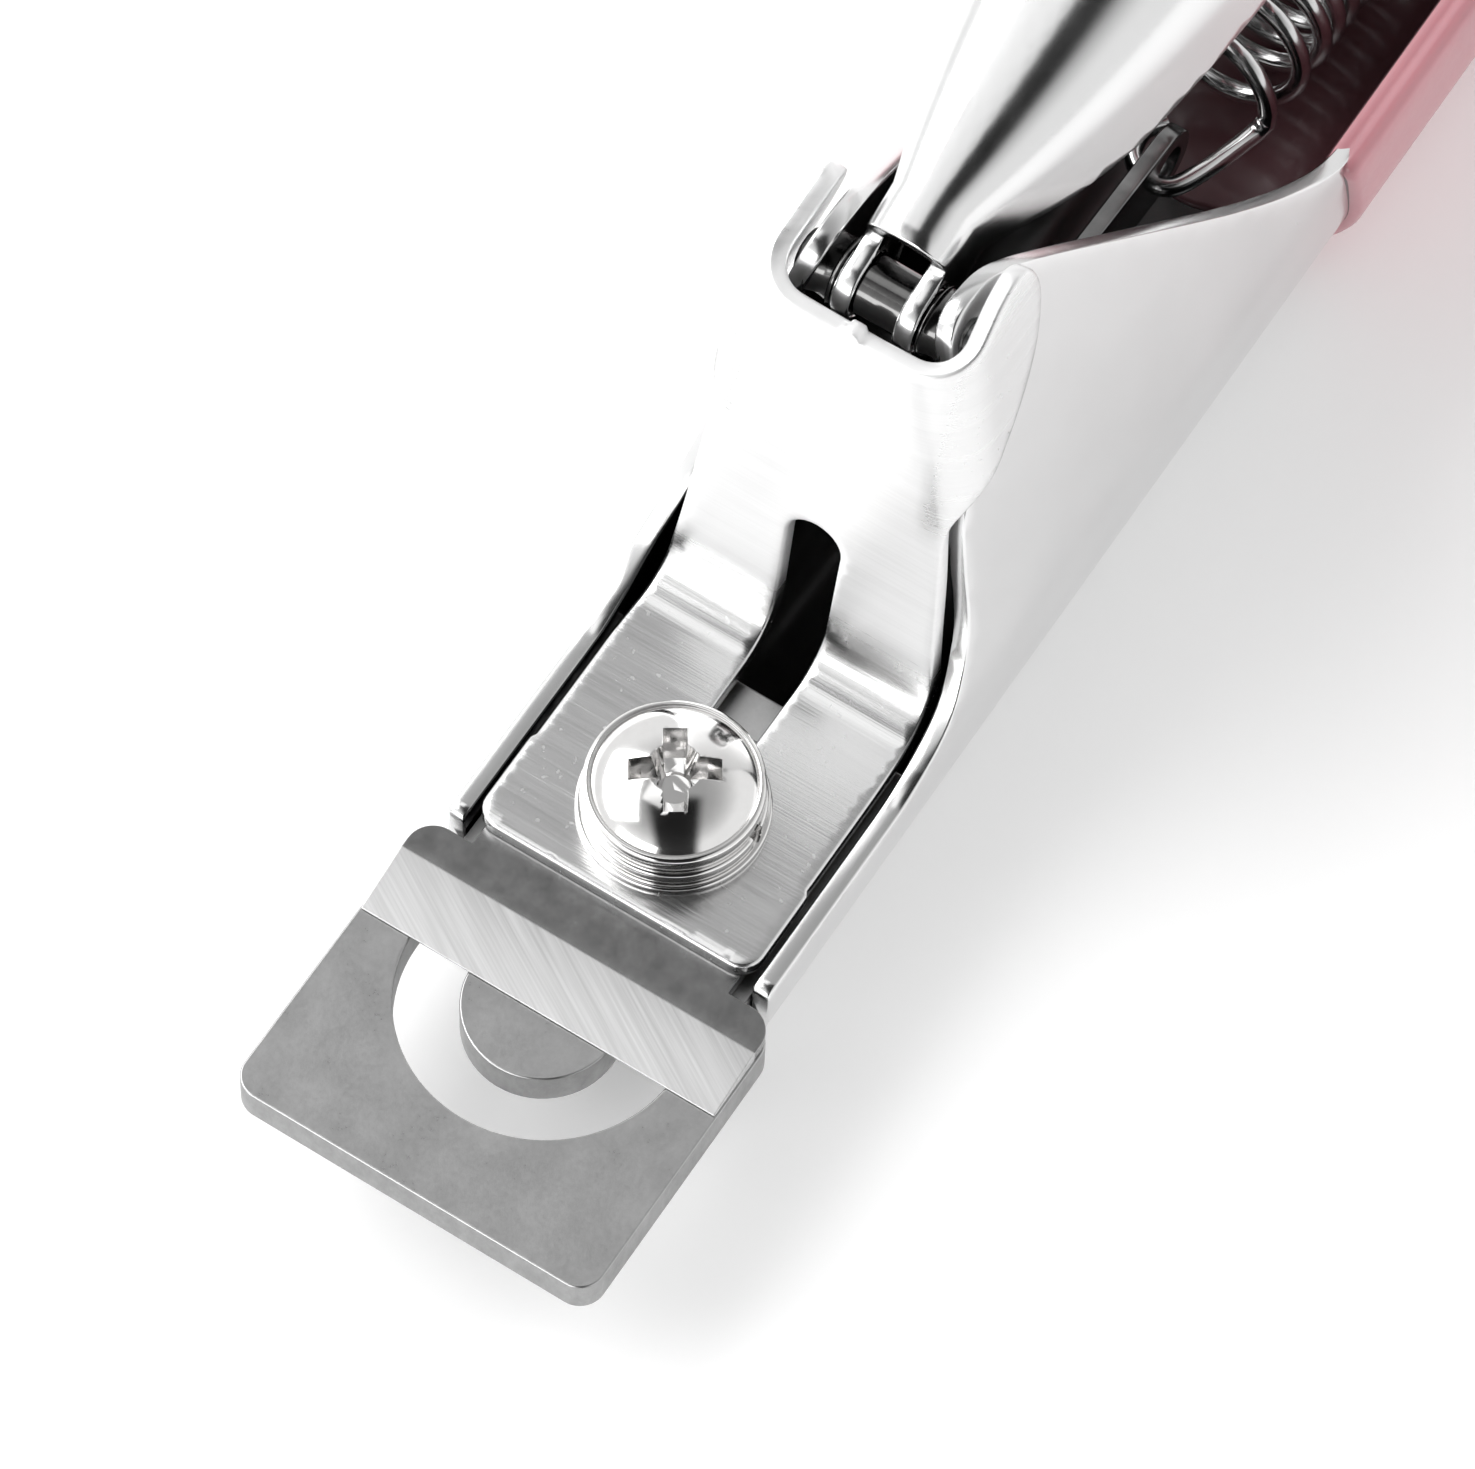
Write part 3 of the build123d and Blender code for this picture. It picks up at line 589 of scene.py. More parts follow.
def plain_rim(thick, soft):
    """A sheet's edge, eased on both faces."""
    cut = soft * 0.3
    outer = [(soft, 0.0), (cut, cut), (0.0, soft)]
    return outer + [(back, thick - depth) for back, depth in reversed(outer)]


# ---------------------------------------------------------------- sheet sizes, in millimetres
SHEET = 0.9
SOFT_EDGE = 0.12
COVER_SOFT = 0.16
HANDLE_MESH = 0.7
GRIP_MESH = 0.8
COVER_MESH = 0.4
GRIP_OUT = (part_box("lower_handle")[0].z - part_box("lower_grip")[0].z) / MM
GRIP_IN = 0.25


# ---------------------------------------------------------------- lower handle
FLOOR_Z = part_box("lower_handle")[0].z / MM
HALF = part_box("lower_handle")[1].y / MM
CORNER = 6.0
LEAN_START = 10.5
EAR_TOP_HALF = 3.6
EAR_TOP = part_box("lower_handle")[1].z / MM
LEAN = atan((HALF - EAR_TOP_HALF) / (EAR_TOP - LEAN_START))
LEAN_ROUND = 9.0
LEAN_CUT = LEAN_ROUND * tan(LEAN / 2)
REAR_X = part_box("lower_handle")[0].x / MM
FRONT_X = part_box("lower_handle")[1].x / MM
END_ROUND = 5.5
PIN_X = (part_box("pivot_pin")[0].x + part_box("pivot_pin")[1].x) / 2 / MM
PIN_Z = (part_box("pivot_pin")[0].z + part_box("pivot_pin")[1].z) / 2 / MM
PIN_R = (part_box("pivot_pin")[1].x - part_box("pivot_pin")[0].x) / 2 / MM
GRIP_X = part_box("lower_grip")[1].x / MM
RIM_Z = 10.6

FLAT_Q = HALF - CORNER
CORNER_Q = FLAT_Q + CORNER * pi / 2
CORNER_Z = FLOOR_Z + CORNER
STRAIGHT_Q = CORNER_Q + LEAN_START - LEAN_CUT - CORNER_Z
BENT_Q = STRAIGHT_Q + LEAN_ROUND * LEAN


def handle_surface(x, q):
    """The channel's outer face: q runs round the section from the middle of the floor."""
    side = 1 if q >= 0 else -1
    q = abs(q)
    if q < FLAT_Q:
        y, z = q, FLOOR_Z
    elif q < CORNER_Q:
        turn = (q - FLAT_Q) / CORNER
        y, z = FLAT_Q + CORNER * sin(turn), CORNER_Z - CORNER * cos(turn)
    elif q < STRAIGHT_Q:
        y, z = HALF, CORNER_Z + q - CORNER_Q
    else:
        turn = min((q - STRAIGHT_Q) / LEAN_ROUND, LEAN)
        rest = max(q - BENT_Q, 0)
        y = HALF - LEAN_ROUND * (1 - cos(turn)) - rest * sin(LEAN)
        z = LEAN_START - LEAN_CUT + LEAN_ROUND * sin(turn) + rest * cos(LEAN)
    return Vector((x, side * y, z))


def handle_q(z):
    """How far round the section a side's height is."""
    bent_z = LEAN_START - LEAN_CUT + LEAN_ROUND * sin(LEAN)
    if z < CORNER_Z:
        return FLAT_Q + CORNER * acos(max(min((CORNER_Z - z) / CORNER, 1), -1))
    if z < LEAN_START - LEAN_CUT:
        return CORNER_Q + z - CORNER_Z
    if z < bent_z:
        return STRAIGHT_Q + LEAN_ROUND * asin((z - LEAN_START + LEAN_CUT) / LEAN_ROUND)
    return BENT_Q + (z - bent_z) / cos(LEAN)


def both_sides(half):
    """Close an outline from its half by mirroring it in its second number."""
    return half + [(a, -b) for a, b in reversed(half) if abs(b) > 1e-6]


def rear_edge(rear_x, half, rim_q):
    """The rear end in plan: square in the middle, rounded at the sides."""
    edge = []
    steps = 24
    for k in range(steps + 1):
        q = rim_q * (1 - k / steps)
        y = abs(handle_surface(0, q).y)
        over = max(y - (half - END_ROUND), 0)
        edge.append((rear_x + END_ROUND - sqrt(max(END_ROUND**2 - over**2, 0)), q))
    return edge


def make_lower_handle(finish):
    ear = [(59.4, 8.6), (49.6, 8.6), (48.2, 8.75), (46.2, 9.6), (44.1, 11.4), (42.4, 14.2), (41.7, 18.0),
           (41.2, 20.4), (40.4, 21.9), (39.75, 23.4), (39.65, 27.0), (39.6, 30.4), (39.1, 31.7),
           (38.0, 32.15), (36.2, 31.85), (34.4, 30.7), (31.2, 27.9), (25.0, 22.2), (19.4, 17.1), (15.0, 13.5),
           (11.5, 11.4), (8.0, 10.75), (5.0, 10.6)]
    ear = [(FRONT_X, ear[0][1])] + smooth_path(ear[1:], 5)
    rim_q = handle_q(RIM_Z)
    half = [(FRONT_X, 0.0)] + [(x, handle_q(z)) for x, z in ear] + rear_edge(REAR_X, HALF + 1, rim_q)
    pin_q = handle_q(PIN_Z)
    holes = [arc((PIN_X, side * pin_q), PIN_R, 0, 345, 23) for side in (-1, 1)]
    rim = plain_rim(SHEET, SOFT_EDGE)
    piece = sheet_metal("bent_lower_handle", both_sides(half), holes, handle_surface, rim, HANDLE_MESH, finish)
    return stand_for(piece, "lower_handle", "frame")


def grip_rim(outer, inner):
    """The dipped edge: a round outer lip, a shallow crease and a lower inner lip."""
    total = outer + inner
    depths = [(0.42, 0.0), (0.16, 0.06), (0.03, 0.2), (0.0, 0.34), (0.07, 0.46), (0.13, 0.54), (0.10, 0.62),
              (0.06, 0.76), (0.10, 0.88), (0.22, 0.96), (0.42, 1.0)]
    return [(back, total * share - outer) for back, share in depths]


def make_lower_grip(finish):
    rim_q = handle_q(RIM_Z + GRIP_OUT)
    scoop = 1.5
    front = []
    steps = 30
    for k in range(steps + 1):
        q = rim_q * k / steps
        share = min((rim_q - q) / (rim_q - FLAT_Q * 0.4), 1)
        front.append((GRIP_X - scoop * sin(pi * share), q))
    rear_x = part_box("lower_grip")[0].x / MM
    rim_line = [(GRIP_X - 0.4, rim_q)] + [(GRIP_X - 3 * k, rim_q) for k in range(1, 28)]
    half = front[:-1] + rim_line + rear_edge(rear_x, HALF + GRIP_OUT + 1, rim_q)
    rim = grip_rim(GRIP_OUT, SHEET + GRIP_IN)
    piece = sheet_metal("dipped_lower_grip", both_sides(half), [], handle_surface, rim, GRIP_MESH, finish)
    return stand_for(piece, "lower_grip", "frame")


# ---------------------------------------------------------------- carriage
COVER_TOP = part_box("flat_washer")[0].z / MM
COVER_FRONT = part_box("slide_cover")[1].x / MM
WALL_X = COVER_FRONT - WALL_BACK
WALL_LEAN = atan(0.135)
BEND_R = 2.6
BEND_TURN = pi / 2 - WALL_LEAN
BEND_CUT = BEND_R * tan(BEND_TURN / 2)
FLAT_S = COVER_FRONT - WALL_X - BEND_CUT
BEND_S = FLAT_S + BEND_R * BEND_TURN
NOSE_FLAT = 2.8
NOSE_ROUND = 2.5
WING_SPREAD = 0.217
SADDLE_Z = 30.8
PAD_HALF = 7.15
SCREW_X = (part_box("flat_washer")[0].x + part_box("flat_washer")[1].x) / 2 / MM


def cover_z(s):
    """Height on the rear wall at length s from the front edge."""
    return COVER_TOP + BEND_CUT * cos(WALL_LEAN) + (s - BEND_S) * cos(WALL_LEAN)


def cover_s(z):
    """Length from the front edge to a height on the rear wall."""
    return BEND_S + (z - COVER_TOP) / cos(WALL_LEAN) - BEND_CUT


def cover_surface(s, t):
    """The carriage strip's outer face: s runs from its front edge up the wall, t across it."""
    side = 1 if t >= 0 else -1
    if s < FLAT_S:
        x, z = COVER_FRONT - s, COVER_TOP
    elif s < BEND_S:
        turn = (s - FLAT_S) / BEND_R
        x = WALL_X + BEND_CUT - BEND_R * sin(turn)
        z = COVER_TOP + BEND_R * (1 - cos(turn))
    else:
        z = cover_z(s)
        x = WALL_X - (z - COVER_TOP) * tan(WALL_LEAN)
    share = min(max((z - 16.0) / 7.5, 0), 1)
    share = share * share * (3 - 2 * share)
    flat = NOSE_FLAT + WING_SPREAD * (SADDLE_Z - z)
    over = max(abs(t) - flat, 0)
    quarter = NOSE_ROUND * pi / 2
    turn = min(over, quarter) / NOSE_ROUND * share
    rest = max(over - quarter, 0)
    y = min(abs(t), flat)
    if share > 1e-4:
        y += NOSE_ROUND / share * sin(turn) + rest * cos(turn)
        x -= NOSE_ROUND / share * (1 - cos(turn)) + rest * sin(turn)
    else:
        y += over
    return Vector((x, side * y, z))


def make_slide_cover(finish):
    tip = NOSE_FLAT + NOSE_ROUND * pi / 2 + 3.1
    edge = [(0.0, 0.0), (0.0, 5.9)] + arc((1.1, 6.05), 1.1, 180, 90, 6)
    edge += [(4.6, PAD_HALF), (4.85, 7.0), (12.6, 7.0)]
    wall = [(10.95, 7.0), (14.0, 6.6), (18.0, 6.2), (20.6, 6.0), (21.7, 6.1), (22.5, 6.6), (23.4, 7.6),
            (24.3, 9.2), (25.9, 11.2), (27.6, 12.4), (29.2, 12.75), (30.8, 12.5), (32.1, 11.5), (32.65, 10.0),
            (32.35, 8.3), (31.7, 6.8), (31.15, 5.2), (30.9, 3.4), (30.8, 1.4)]
    stretch = tip / 12.95
    curve = smooth_path(wall, 5)
    edge += [(cover_s(z), t if t < 6 else 6 + (t - 6) * stretch) for z, t in curve]
    top = cover_s(30.8)
    edge += [(top, 0.45), (top + 0.28, 0.32), (top + 0.3, 0.0)]
    slot_half = 1.22
    slot_front = COVER_FRONT - 50.6
    slot_top = cover_s(17.4) - slot_half
    slot = arc((slot_front, 0), slot_half, 90, 270, 14) + arc((slot_top, 0), slot_half * 1.1, -90, 90, 14)
    screw_hole = arc((COVER_FRONT - SCREW_X, 0), 2.1, 0, 345, 23)
    rim = plain_rim(SHEET, COVER_SOFT)
    holes = [slot, screw_hole]
    piece = sheet_metal("bent_slide_cover", both_sides(edge), holes, cover_surface, rim, COVER_MESH, finish)
    return stand_for(piece, "slide_cover", "carriage")


# ---------------------------------------------------------------- lever
LEVER_REST = radians(18)
LEVER_LONG = 112.0
LEVER_TOP = 3.5
LEVER_HALF = 7.8
CHEEK = 2.0
GRIP_U = 29.0
LEVER_Q = 8.0
LEVER_LOW = -6.2
LEVER_RISE = 0.0155
LEVER_NECK = 4.0
LEVER_FLARE = 16.0
SHOULDER = 0.86


def lever_half(u):
    """Half width at distance u behind the pivot."""
    return LEVER_HALF - (LEVER_HALF - CHEEK) * exp(-max(u - LEVER_NECK, 0) / LEVER_FLARE)


def lever_level(u, q):
    """The level lever's outer face: q runs from the middle of its back round to its side's lower edge."""
    side = 1 if q >= 0 else -1
    half = lever_half(u)
    corner = half * SHOULDER
    flat = half - corner
    q = abs(q)
    run = min(q / LEVER_Q, 1) * (flat + corner * pi / 2)
    turn = max(run - flat, 0) / corner
    y = min(run, flat) + corner * sin(turn)
    z = LEVER_TOP - corner * (1 - cos(turn)) - max(q - LEVER_Q, 0)
    return Vector((-u, side * y, z))


def lever_surface(u, q):
    """The same, raised to the lever's rest angle and put on the pivot."""
    p = lever_level(u, q)
    c, s = cos(LEVER_REST), sin(LEVER_REST)
    return Vector((PIN_X + p.x * c + p.z * s, p.y, PIN_Z - p.x * s + p.z * c))


def lever_q(u, z):
    """How far round the section a height on the lever's side is."""
    half = lever_half(u)
    corner = half * SHOULDER
    side_z = LEVER_TOP - corner
    if z <= side_z:
        return LEVER_Q + side_z - z
    turn = acos(max(min((z - side_z) / corner, 1), -1))
    flat = half - corner
    return LEVER_Q * (flat + corner * turn) / (flat + corner * pi / 2)


def make_upper_handle(finish):
    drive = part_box("drive_pin")
    drive_x = (drive[0].x + drive[1].x) / 2 / MM - PIN_X
    drive_z = (drive[0].z + drive[1].z) / 2 / MM - PIN_Z
    fork = Vector((-(drive_x * cos(LEVER_REST) - drive_z * sin(LEVER_REST)),
                   drive_x * sin(LEVER_REST) + drive_z * cos(LEVER_REST)))
    reach = fork.length
    down = fork / reach
    back = Vector((-down.y, down.x))
    gap = (drive[1].x - drive[0].x) / 2 / MM + 0.25

    def leg(along, across):
        point = down * along + back * across
        return (point.x, point.y)

    front = [(1.7, 1.75)] + arc((0, 0), 1.75, 75, 185, 10)
    front += [leg(3.0, -2.05), leg(reach + 2.4, -2.05), leg(reach + 3.0, -1.75), leg(reach + 3.0, -gap - 0.1),
              leg(reach + 2.7, -gap)]
    front += [leg(reach - gap * sin(radians(a)), -gap * cos(radians(a))) for a in range(0, 181, 20)]
    front += [leg(reach + 2.7, gap), leg(reach + 3.0, gap + 0.1)]
    front += [leg(reach + 3.0, 1.75), leg(reach + 2.4, 2.05)]
    throat = [(2.2, -2.0), (3.6, -1.5), (5.6, -2.6), (8.0, -4.3), (10.8, -5.6), (14.0, -6.2), (30.0, -6.2)]
    lower = smooth_path([leg(3.6, 2.05)] + throat, 6)
    rear = LEVER_LONG - GRIP_OUT
    lower += [(50.0, -5.9), (80.0, -5.5), (rear, -5.0)]
    half = [(1.7, 0.0)] + [(u, lever_q(u, z)) for u, z in front + lower] + [(rear, 0.0)]
    bore = arc((0, lever_q(0, 0)), 1.58, 0, 345, 23)
    holes = [bore, [(u, -q) for u, q in bore]]
    rim = plain_rim(SHEET, SOFT_EDGE)
    piece = sheet_metal("bent_upper_handle", both_sides(half), holes, lever_surface, rim, HANDLE_MESH, finish)
    return stand_for(piece, "upper_handle", "lever")


def make_upper_grip(finish):
    front = []
    low = lever_q(GRIP_U, LEVER_LOW - GRIP_OUT)
    steps = 30
    for k in range(steps + 1):
        q = low * k / steps
        front.append((GRIP_U + 1.3 * sin(pi * min(k / steps * 1.1, 1)), q))
    lower = [(u, lever_q(u, LEVER_LOW - GRIP_OUT + (u - 30) * LEVER_RISE)) for u in range(31, 110, 3)]
    last = lower[-1][1]
    rear = [(LEVER_LONG - 2.5, last), (LEVER_LONG - 0.7, last - 0.8), (LEVER_LONG, last - 2.6)]
    rear.append((LEVER_LONG, 0.0))
    rim = grip_rim(GRIP_OUT, SHEET + GRIP_IN)
    outline = both_sides(front + lower + rear)
    piece = sheet_metal("dipped_upper_grip", outline, [], lever_surface, rim, GRIP_MESH, finish)
    return stand_for(piece, "upper_grip", "lever")


# ---------------------------------------------------------------- hardware
def centre_of(node):
    low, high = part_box(node)
    return (low + high) / 2


SHANK_R = 1.95 * MM
ROOT_R = 1.66 * MM
PITCH = 0.7 * MM
SCREW_HOLE = 2.1 * MM
RECESS_TURN = 33


def make_screw(finish):
    """A wide pan head with a rolled rim and a deep cross recess."""
    low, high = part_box("clamp_screw")
    centre = centre_of("clamp_screw")
    head_r = (high.x - low.x) / 2
    top = high.z
    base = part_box("lock_washer")[1].z
    rise = top - base
    dome = []
    fall = (rise - 1.0 * MM) * 1.55
    steps = 14
    dome_r = head_r * 0.9
    for k in range(steps + 1):
        r = dome_r * k / steps
        dome.append((max(r, 1e-6), top - fall * (1 - sqrt(max(1 - (r / head_r) ** 2, 0)))))
    edge_z = dome[-1][1]
    rim = [(head_r * 0.915, edge_z - 0.10 * MM), (head_r * 0.93, edge_z - 0.09 * MM)]
    rim += [
        (head_r - 0.2 * MM + 0.2 * MM * sin(radians(a)), edge_z - 0.22 * MM + 0.2 * MM * cos(radians(a)))
        for a in range(-20, 91, 22)
    ]
    body = [(head_r, base + 0.25 * MM), (head_r - 0.12 * MM, base + 0.06 * MM), (head_r - 0.3 * MM, base),
            (SHANK_R, base)]
    thread = []
    z = base - 0.5 * MM
    while z > low.z + PITCH:
        thread += [(SHANK_R, z), (SHANK_R, z - PITCH * 0.15), (ROOT_R, z - PITCH * 0.5)]
        z -= PITCH
    tip = [(1.7 * MM, low.z + 0.1 * MM), (1.5 * MM, low.z), (1e-6, low.z)]
    profile = [(r, z - base) for r, z in dome + rim + body + thread + tip]
    screw = lathe("pan_screw", profile, (centre.x, centre.y, base), (0, 0, 1), finish, 96)

    cutter = bmesh.new()
    arm, slim, deep = 2.35 * MM, 0.58 * MM, 2.0 * MM
    for turn in (RECESS_TURN, RECESS_TURN + 90):
        made = bmesh.ops.create_cube(cutter, size=2.0)["verts"]
        for v in made:
            low_end = v.co.z < 0
            v.co.x *= arm * (0.62 if low_end else 1.0)
            v.co.y *= slim * (0.72 if low_end else 1.0)
            v.co.z = top - deep if low_end else top + 0.6 * MM
        bmesh.ops.rotate(cutter, verts=made, cent=(0, 0, 0), matrix=Matrix.Rotation(radians(turn), 3, "Z"))
    made = bmesh.ops.create_cone(
        cutter, cap_ends=True, segments=24, radius1=0.75 * MM, radius2=1.25 * MM, depth=deep + 0.4 * MM
    )["verts"]
    bmesh.ops.translate(cutter, verts=made, vec=(0, 0, top - deep / 2))
    bmesh.ops.translate(cutter, verts=cutter.verts, vec=(centre.x, centre.y, 0))
    tool_mesh = bpy.data.meshes.new("recess tool")
    cutter.to_mesh(tool_mesh)
    cutter.free()
    tool = bpy.data.objects.new("recess tool", tool_mesh)
    bpy.context.scene.collection.objects.link(tool)
    cut = screw.modifiers.new("recess", "BOOLEAN")
    cut.operation = "DIFFERENCE"
    cut.object = tool
    cut.solver = "EXACT"
    cut.use_self = True
    settle(screw)
    bpy.data.objects.remove(tool)
    ease_edges(screw, 0.07 * MM, 2, 38)
    return stand_for(screw, "clamp_screw", "carriage")


def make_washer(node, name, soft, finish):
    """A flat ring with rounded edges."""
    low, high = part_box(node)
    centre = (low + high) / 2
    outer = (high.x - low.x) / 2
    thick = high.z - low.z
    profile = rounded([(SCREW_HOLE, 0), (outer, 0), (outer, thick), (SCREW_HOLE, thick)], soft, 4)
    ring = lathe(name, profile, (centre.x, centre.y, low.z), (0, 0, 1), finish, 96)
    return stand_for(weigh_normals(ring), node, "carriage")


def make_lock_washer(finish):
    """A split ring whose cut ends stand a little apart."""
    low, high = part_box("lock_washer")
    centre = (low + high) / 2
    outer = (high.y - low.y) / 2
    inner = 2.2 * MM
    thick = high.z - low.z
    section = rounded([(inner, 0), (outer, 0), (outer, thick), (inner, thick)], 0.16 * MM, 3)
    steps = 96
    points = []
    start, sweep = radians(100), radians(350)
    for k in range(steps + 1):
        turn = start + sweep * k / steps
        for r, z in section:
            points.append((centre.x + r * cos(turn), centre.y + r * sin(turn), low.z + z))
    count = len(section)
    faces = [tuple(range(count)), tuple(steps * count + k for k in range(count))]
    for k in range(steps):
        for j in range(count):
            n = (j + 1) % count
            faces.append((k * count + j, k * count + n, (k + 1) * count + n, (k + 1) * count + j))
    ring = make_piece("split_washer", points, faces, finish)
    return stand_for(ease_edges(ring, 0.04 * MM, 1, 50), "lock_washer", "carriage")


def make_pin(node, name, body, finish):
    """A round pin across the tool with chamfered, staked ends."""
    low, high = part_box(node)
    r = (high.x - low.x) / 2
    long = high.y - low.y
    soft = 0.22 * MM
    cut = soft * 0.3
    end = [(1e-6, 0.0), (r * 0.45, 0.0), (r * 0.5, 0.08 * MM), (r - soft, 0.0), (r - cut, cut), (r, soft)]
    profile = end + [(out, long - rise) for out, rise in reversed(end)]
    pin = lathe(name, profile, ((low.x + high.x) / 2, low.y, (low.z + high.z) / 2), (0, 1, 0), finish, 48)
    return stand_for(weigh_normals(pin), node, body)


def make_spool(node, name, body, spans, waist, bore, finish):
    """Sleeves on the pin, a little waisted between their ends. spans are (start, end) across the tool."""
    low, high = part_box(node)
    outer = (high.x - low.x) / 2
    parts = []
    for start, end in spans:
        long = end - start
        edge = 0.18 * MM
        profile = [(bore, 0.0), (outer - edge, 0.0), (outer, edge)]
        for k in range(1, 10):
            share = k / 10
            profile.append((outer - waist * sin(pi * share), long * share))
        profile += [(outer, long - edge), (outer - edge, long), (bore, long)]
        middle = ((low.x + high.x) / 2, start, (low.z + high.z) / 2)
        parts.append(lathe(name, profile, middle, (0, 1, 0), finish, 48))
    piece = joined(parts)
    return stand_for(weigh_normals(piece), node, body)


def joined(parts):
    """Several meshes as one object."""
    work = bmesh.new()
    for part in parts:
        work.from_mesh(part.data)
    work.to_mesh(parts[0].data)
    work.free()
    for part in parts[1:]:
        bpy.data.objects.remove(part)
    return parts[0]


# ---------------------------------------------------------------- spring
WIRE = 0.95 * MM
COIL_R = (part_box("return_spring")[1].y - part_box("return_spring")[0].y) / 2 - WIRE / 2


def wire_tree():
    """A node tree that draws round wire along a path."""
    tree = bpy.data.node_groups.new("wire along a path", "GeometryNodeTree")
    face = tree.interface
    face.new_socket("Geometry", in_out="INPUT", socket_type="NodeSocketGeometry")
    radius = face.new_socket("Wire Radius", in_out="INPUT", socket_type="NodeSocketFloat")
    sides = face.new_socket("Sides", in_out="INPUT", socket_type="NodeSocketInt")
    finish = face.new_socket("Finish", in_out="INPUT", socket_type="NodeSocketMaterial")
    face.new_socket("Geometry", in_out="OUTPUT", socket_type="NodeSocketGeometry")

    def add(kind, **values):
        node = tree.nodes.new(kind)
        for key, value in values.items():
            socket = node.inputs[key.replace("_", " ")]
            if isinstance(value, bpy.types.NodeSocket):
                tree.links.new(value, socket)
            else:
                socket.default_value = value
        return node

    start = tree.nodes.new("NodeGroupInput")
    end = tree.nodes.new("NodeGroupOutput")
    curve = add("GeometryNodeMeshToCurve", Mesh=start.outputs["Geometry"])
    wide, count = start.outputs["Wire Radius"], start.outputs["Sides"]
    section = add("GeometryNodeCurvePrimitiveCircle", Radius=wide, Resolution=count)
    wire = {"Curve": curve.outputs[0], "Profile_Curve": section.outputs[0], "Fill_Caps": True}
    tube = add("GeometryNodeCurveToMesh", **wire)
    smooth = add("GeometryNodeSetShadeSmooth", Geometry=tube.outputs[0])
    real = add("GeometryNodeRealizeInstances", Geometry=smooth.outputs[0])
    painted = add("GeometryNodeSetMaterial", Geometry=real.outputs[0], Material=start.outputs["Finish"])
    tree.links.new(painted.outputs[0], end.inputs["Geometry"])
    return tree, radius.identifier, sides.identifier, finish.identifier


def spring_path():
    """The wire's centre line: anchor loop, close coils, opened front coils and the long hook."""
    low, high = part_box("return_spring")
    axis_z = (low.z + high.z) / 2
    front_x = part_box("pull_link")[0].x + 1.9 * MM
    rear_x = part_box("spring_anchor")[1].x - 1.0 * MM
    loop_r = 1.5 * MM
    close_start = rear_x + 5.2 * MM
    close_end = front_x - 10.2 * MM
    pitch = 1.22 * MM
    open_turns = 2.5
    open_end = front_x - 4.6 * MM
    turns = round((close_end - close_start) / pitch)
    path = []
    for k in range(15):
        turn = radians(-60 + 240 * k / 14)
        path.append(Vector((rear_x + 0.6 * MM - loop_r * sin(turn) * 0.9, loop_r * cos(turn), axis_z)))
    path.append(Vector((rear_x + 3.2 * MM, -1.3 * MM, axis_z)))
    per_turn = 26
    for k in range(turns * per_turn + 1):
        turn = 2 * pi * k / per_turn
        x = close_start + (close_end - close_start) * k / (turns * per_turn)
        r = COIL_R * min(1, 0.55 + k / per_turn)
        path.append(Vector((x, -r * cos(turn), axis_z + r * sin(turn))))
    steps = int(open_turns * per_turn)
    for k in range(1, steps + 1):
        share = k / steps
        turn = 2 * pi * open_turns * share
        x = close_end + (open_end - close_end) * (0.45 * share + 0.55 * share**2)
        path.append(Vector((x, -COIL_R * cos(turn), axis_z + COIL_R * sin(turn))))
    end = path[-1]
    eye = Vector((front_x, 0, axis_z))
    hook = [
        end,
        Vector((end.x + 0.9 * MM, end.y - 0.35 * MM, end.z - 0.5 * MM)),
        Vector((eye.x - 0.6 * MM, end.y * 0.62, eye.z - 0.05 * MM)),
        Vector((eye.x + 0.9 * MM, 1.0 * MM, eye.z)),
        Vector((eye.x + 1.0 * MM, -0.2 * MM, eye.z)),
        Vector((eye.x + 0.35 * MM, -1.25 * MM, eye.z)),
        Vector((eye.x - 1.0 * MM, -1.5 * MM, eye.z)),
        Vector((eye.x - 2.0 * MM, -0.9 * MM, eye.z)),
    ]
    return path + [Vector(p) for p in smooth_path(hook, 8)[1:]]


def make_spring(finish):
    path = spring_path()
    mesh = bpy.data.meshes.new("coil_spring")
    mesh.from_pydata([tuple(p) for p in path], [(k, k + 1) for k in range(len(path) - 1)], [])
    spring = bpy.data.objects.new("coil_spring", mesh)
    bpy.context.scene.collection.objects.link(spring)
    tree, radius, sides, paint = wire_tree()
    modifier = spring.modifiers.new("wire", "NODES")
    modifier.node_group = tree
    modifier[radius] = WIRE / 2
    modifier[sides] = 12
    modifier[paint] = finish
    settle(spring)
    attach(spring, "frame")
    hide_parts("return_spring")
    spring.parent = None
    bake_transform(spring)
    return spring


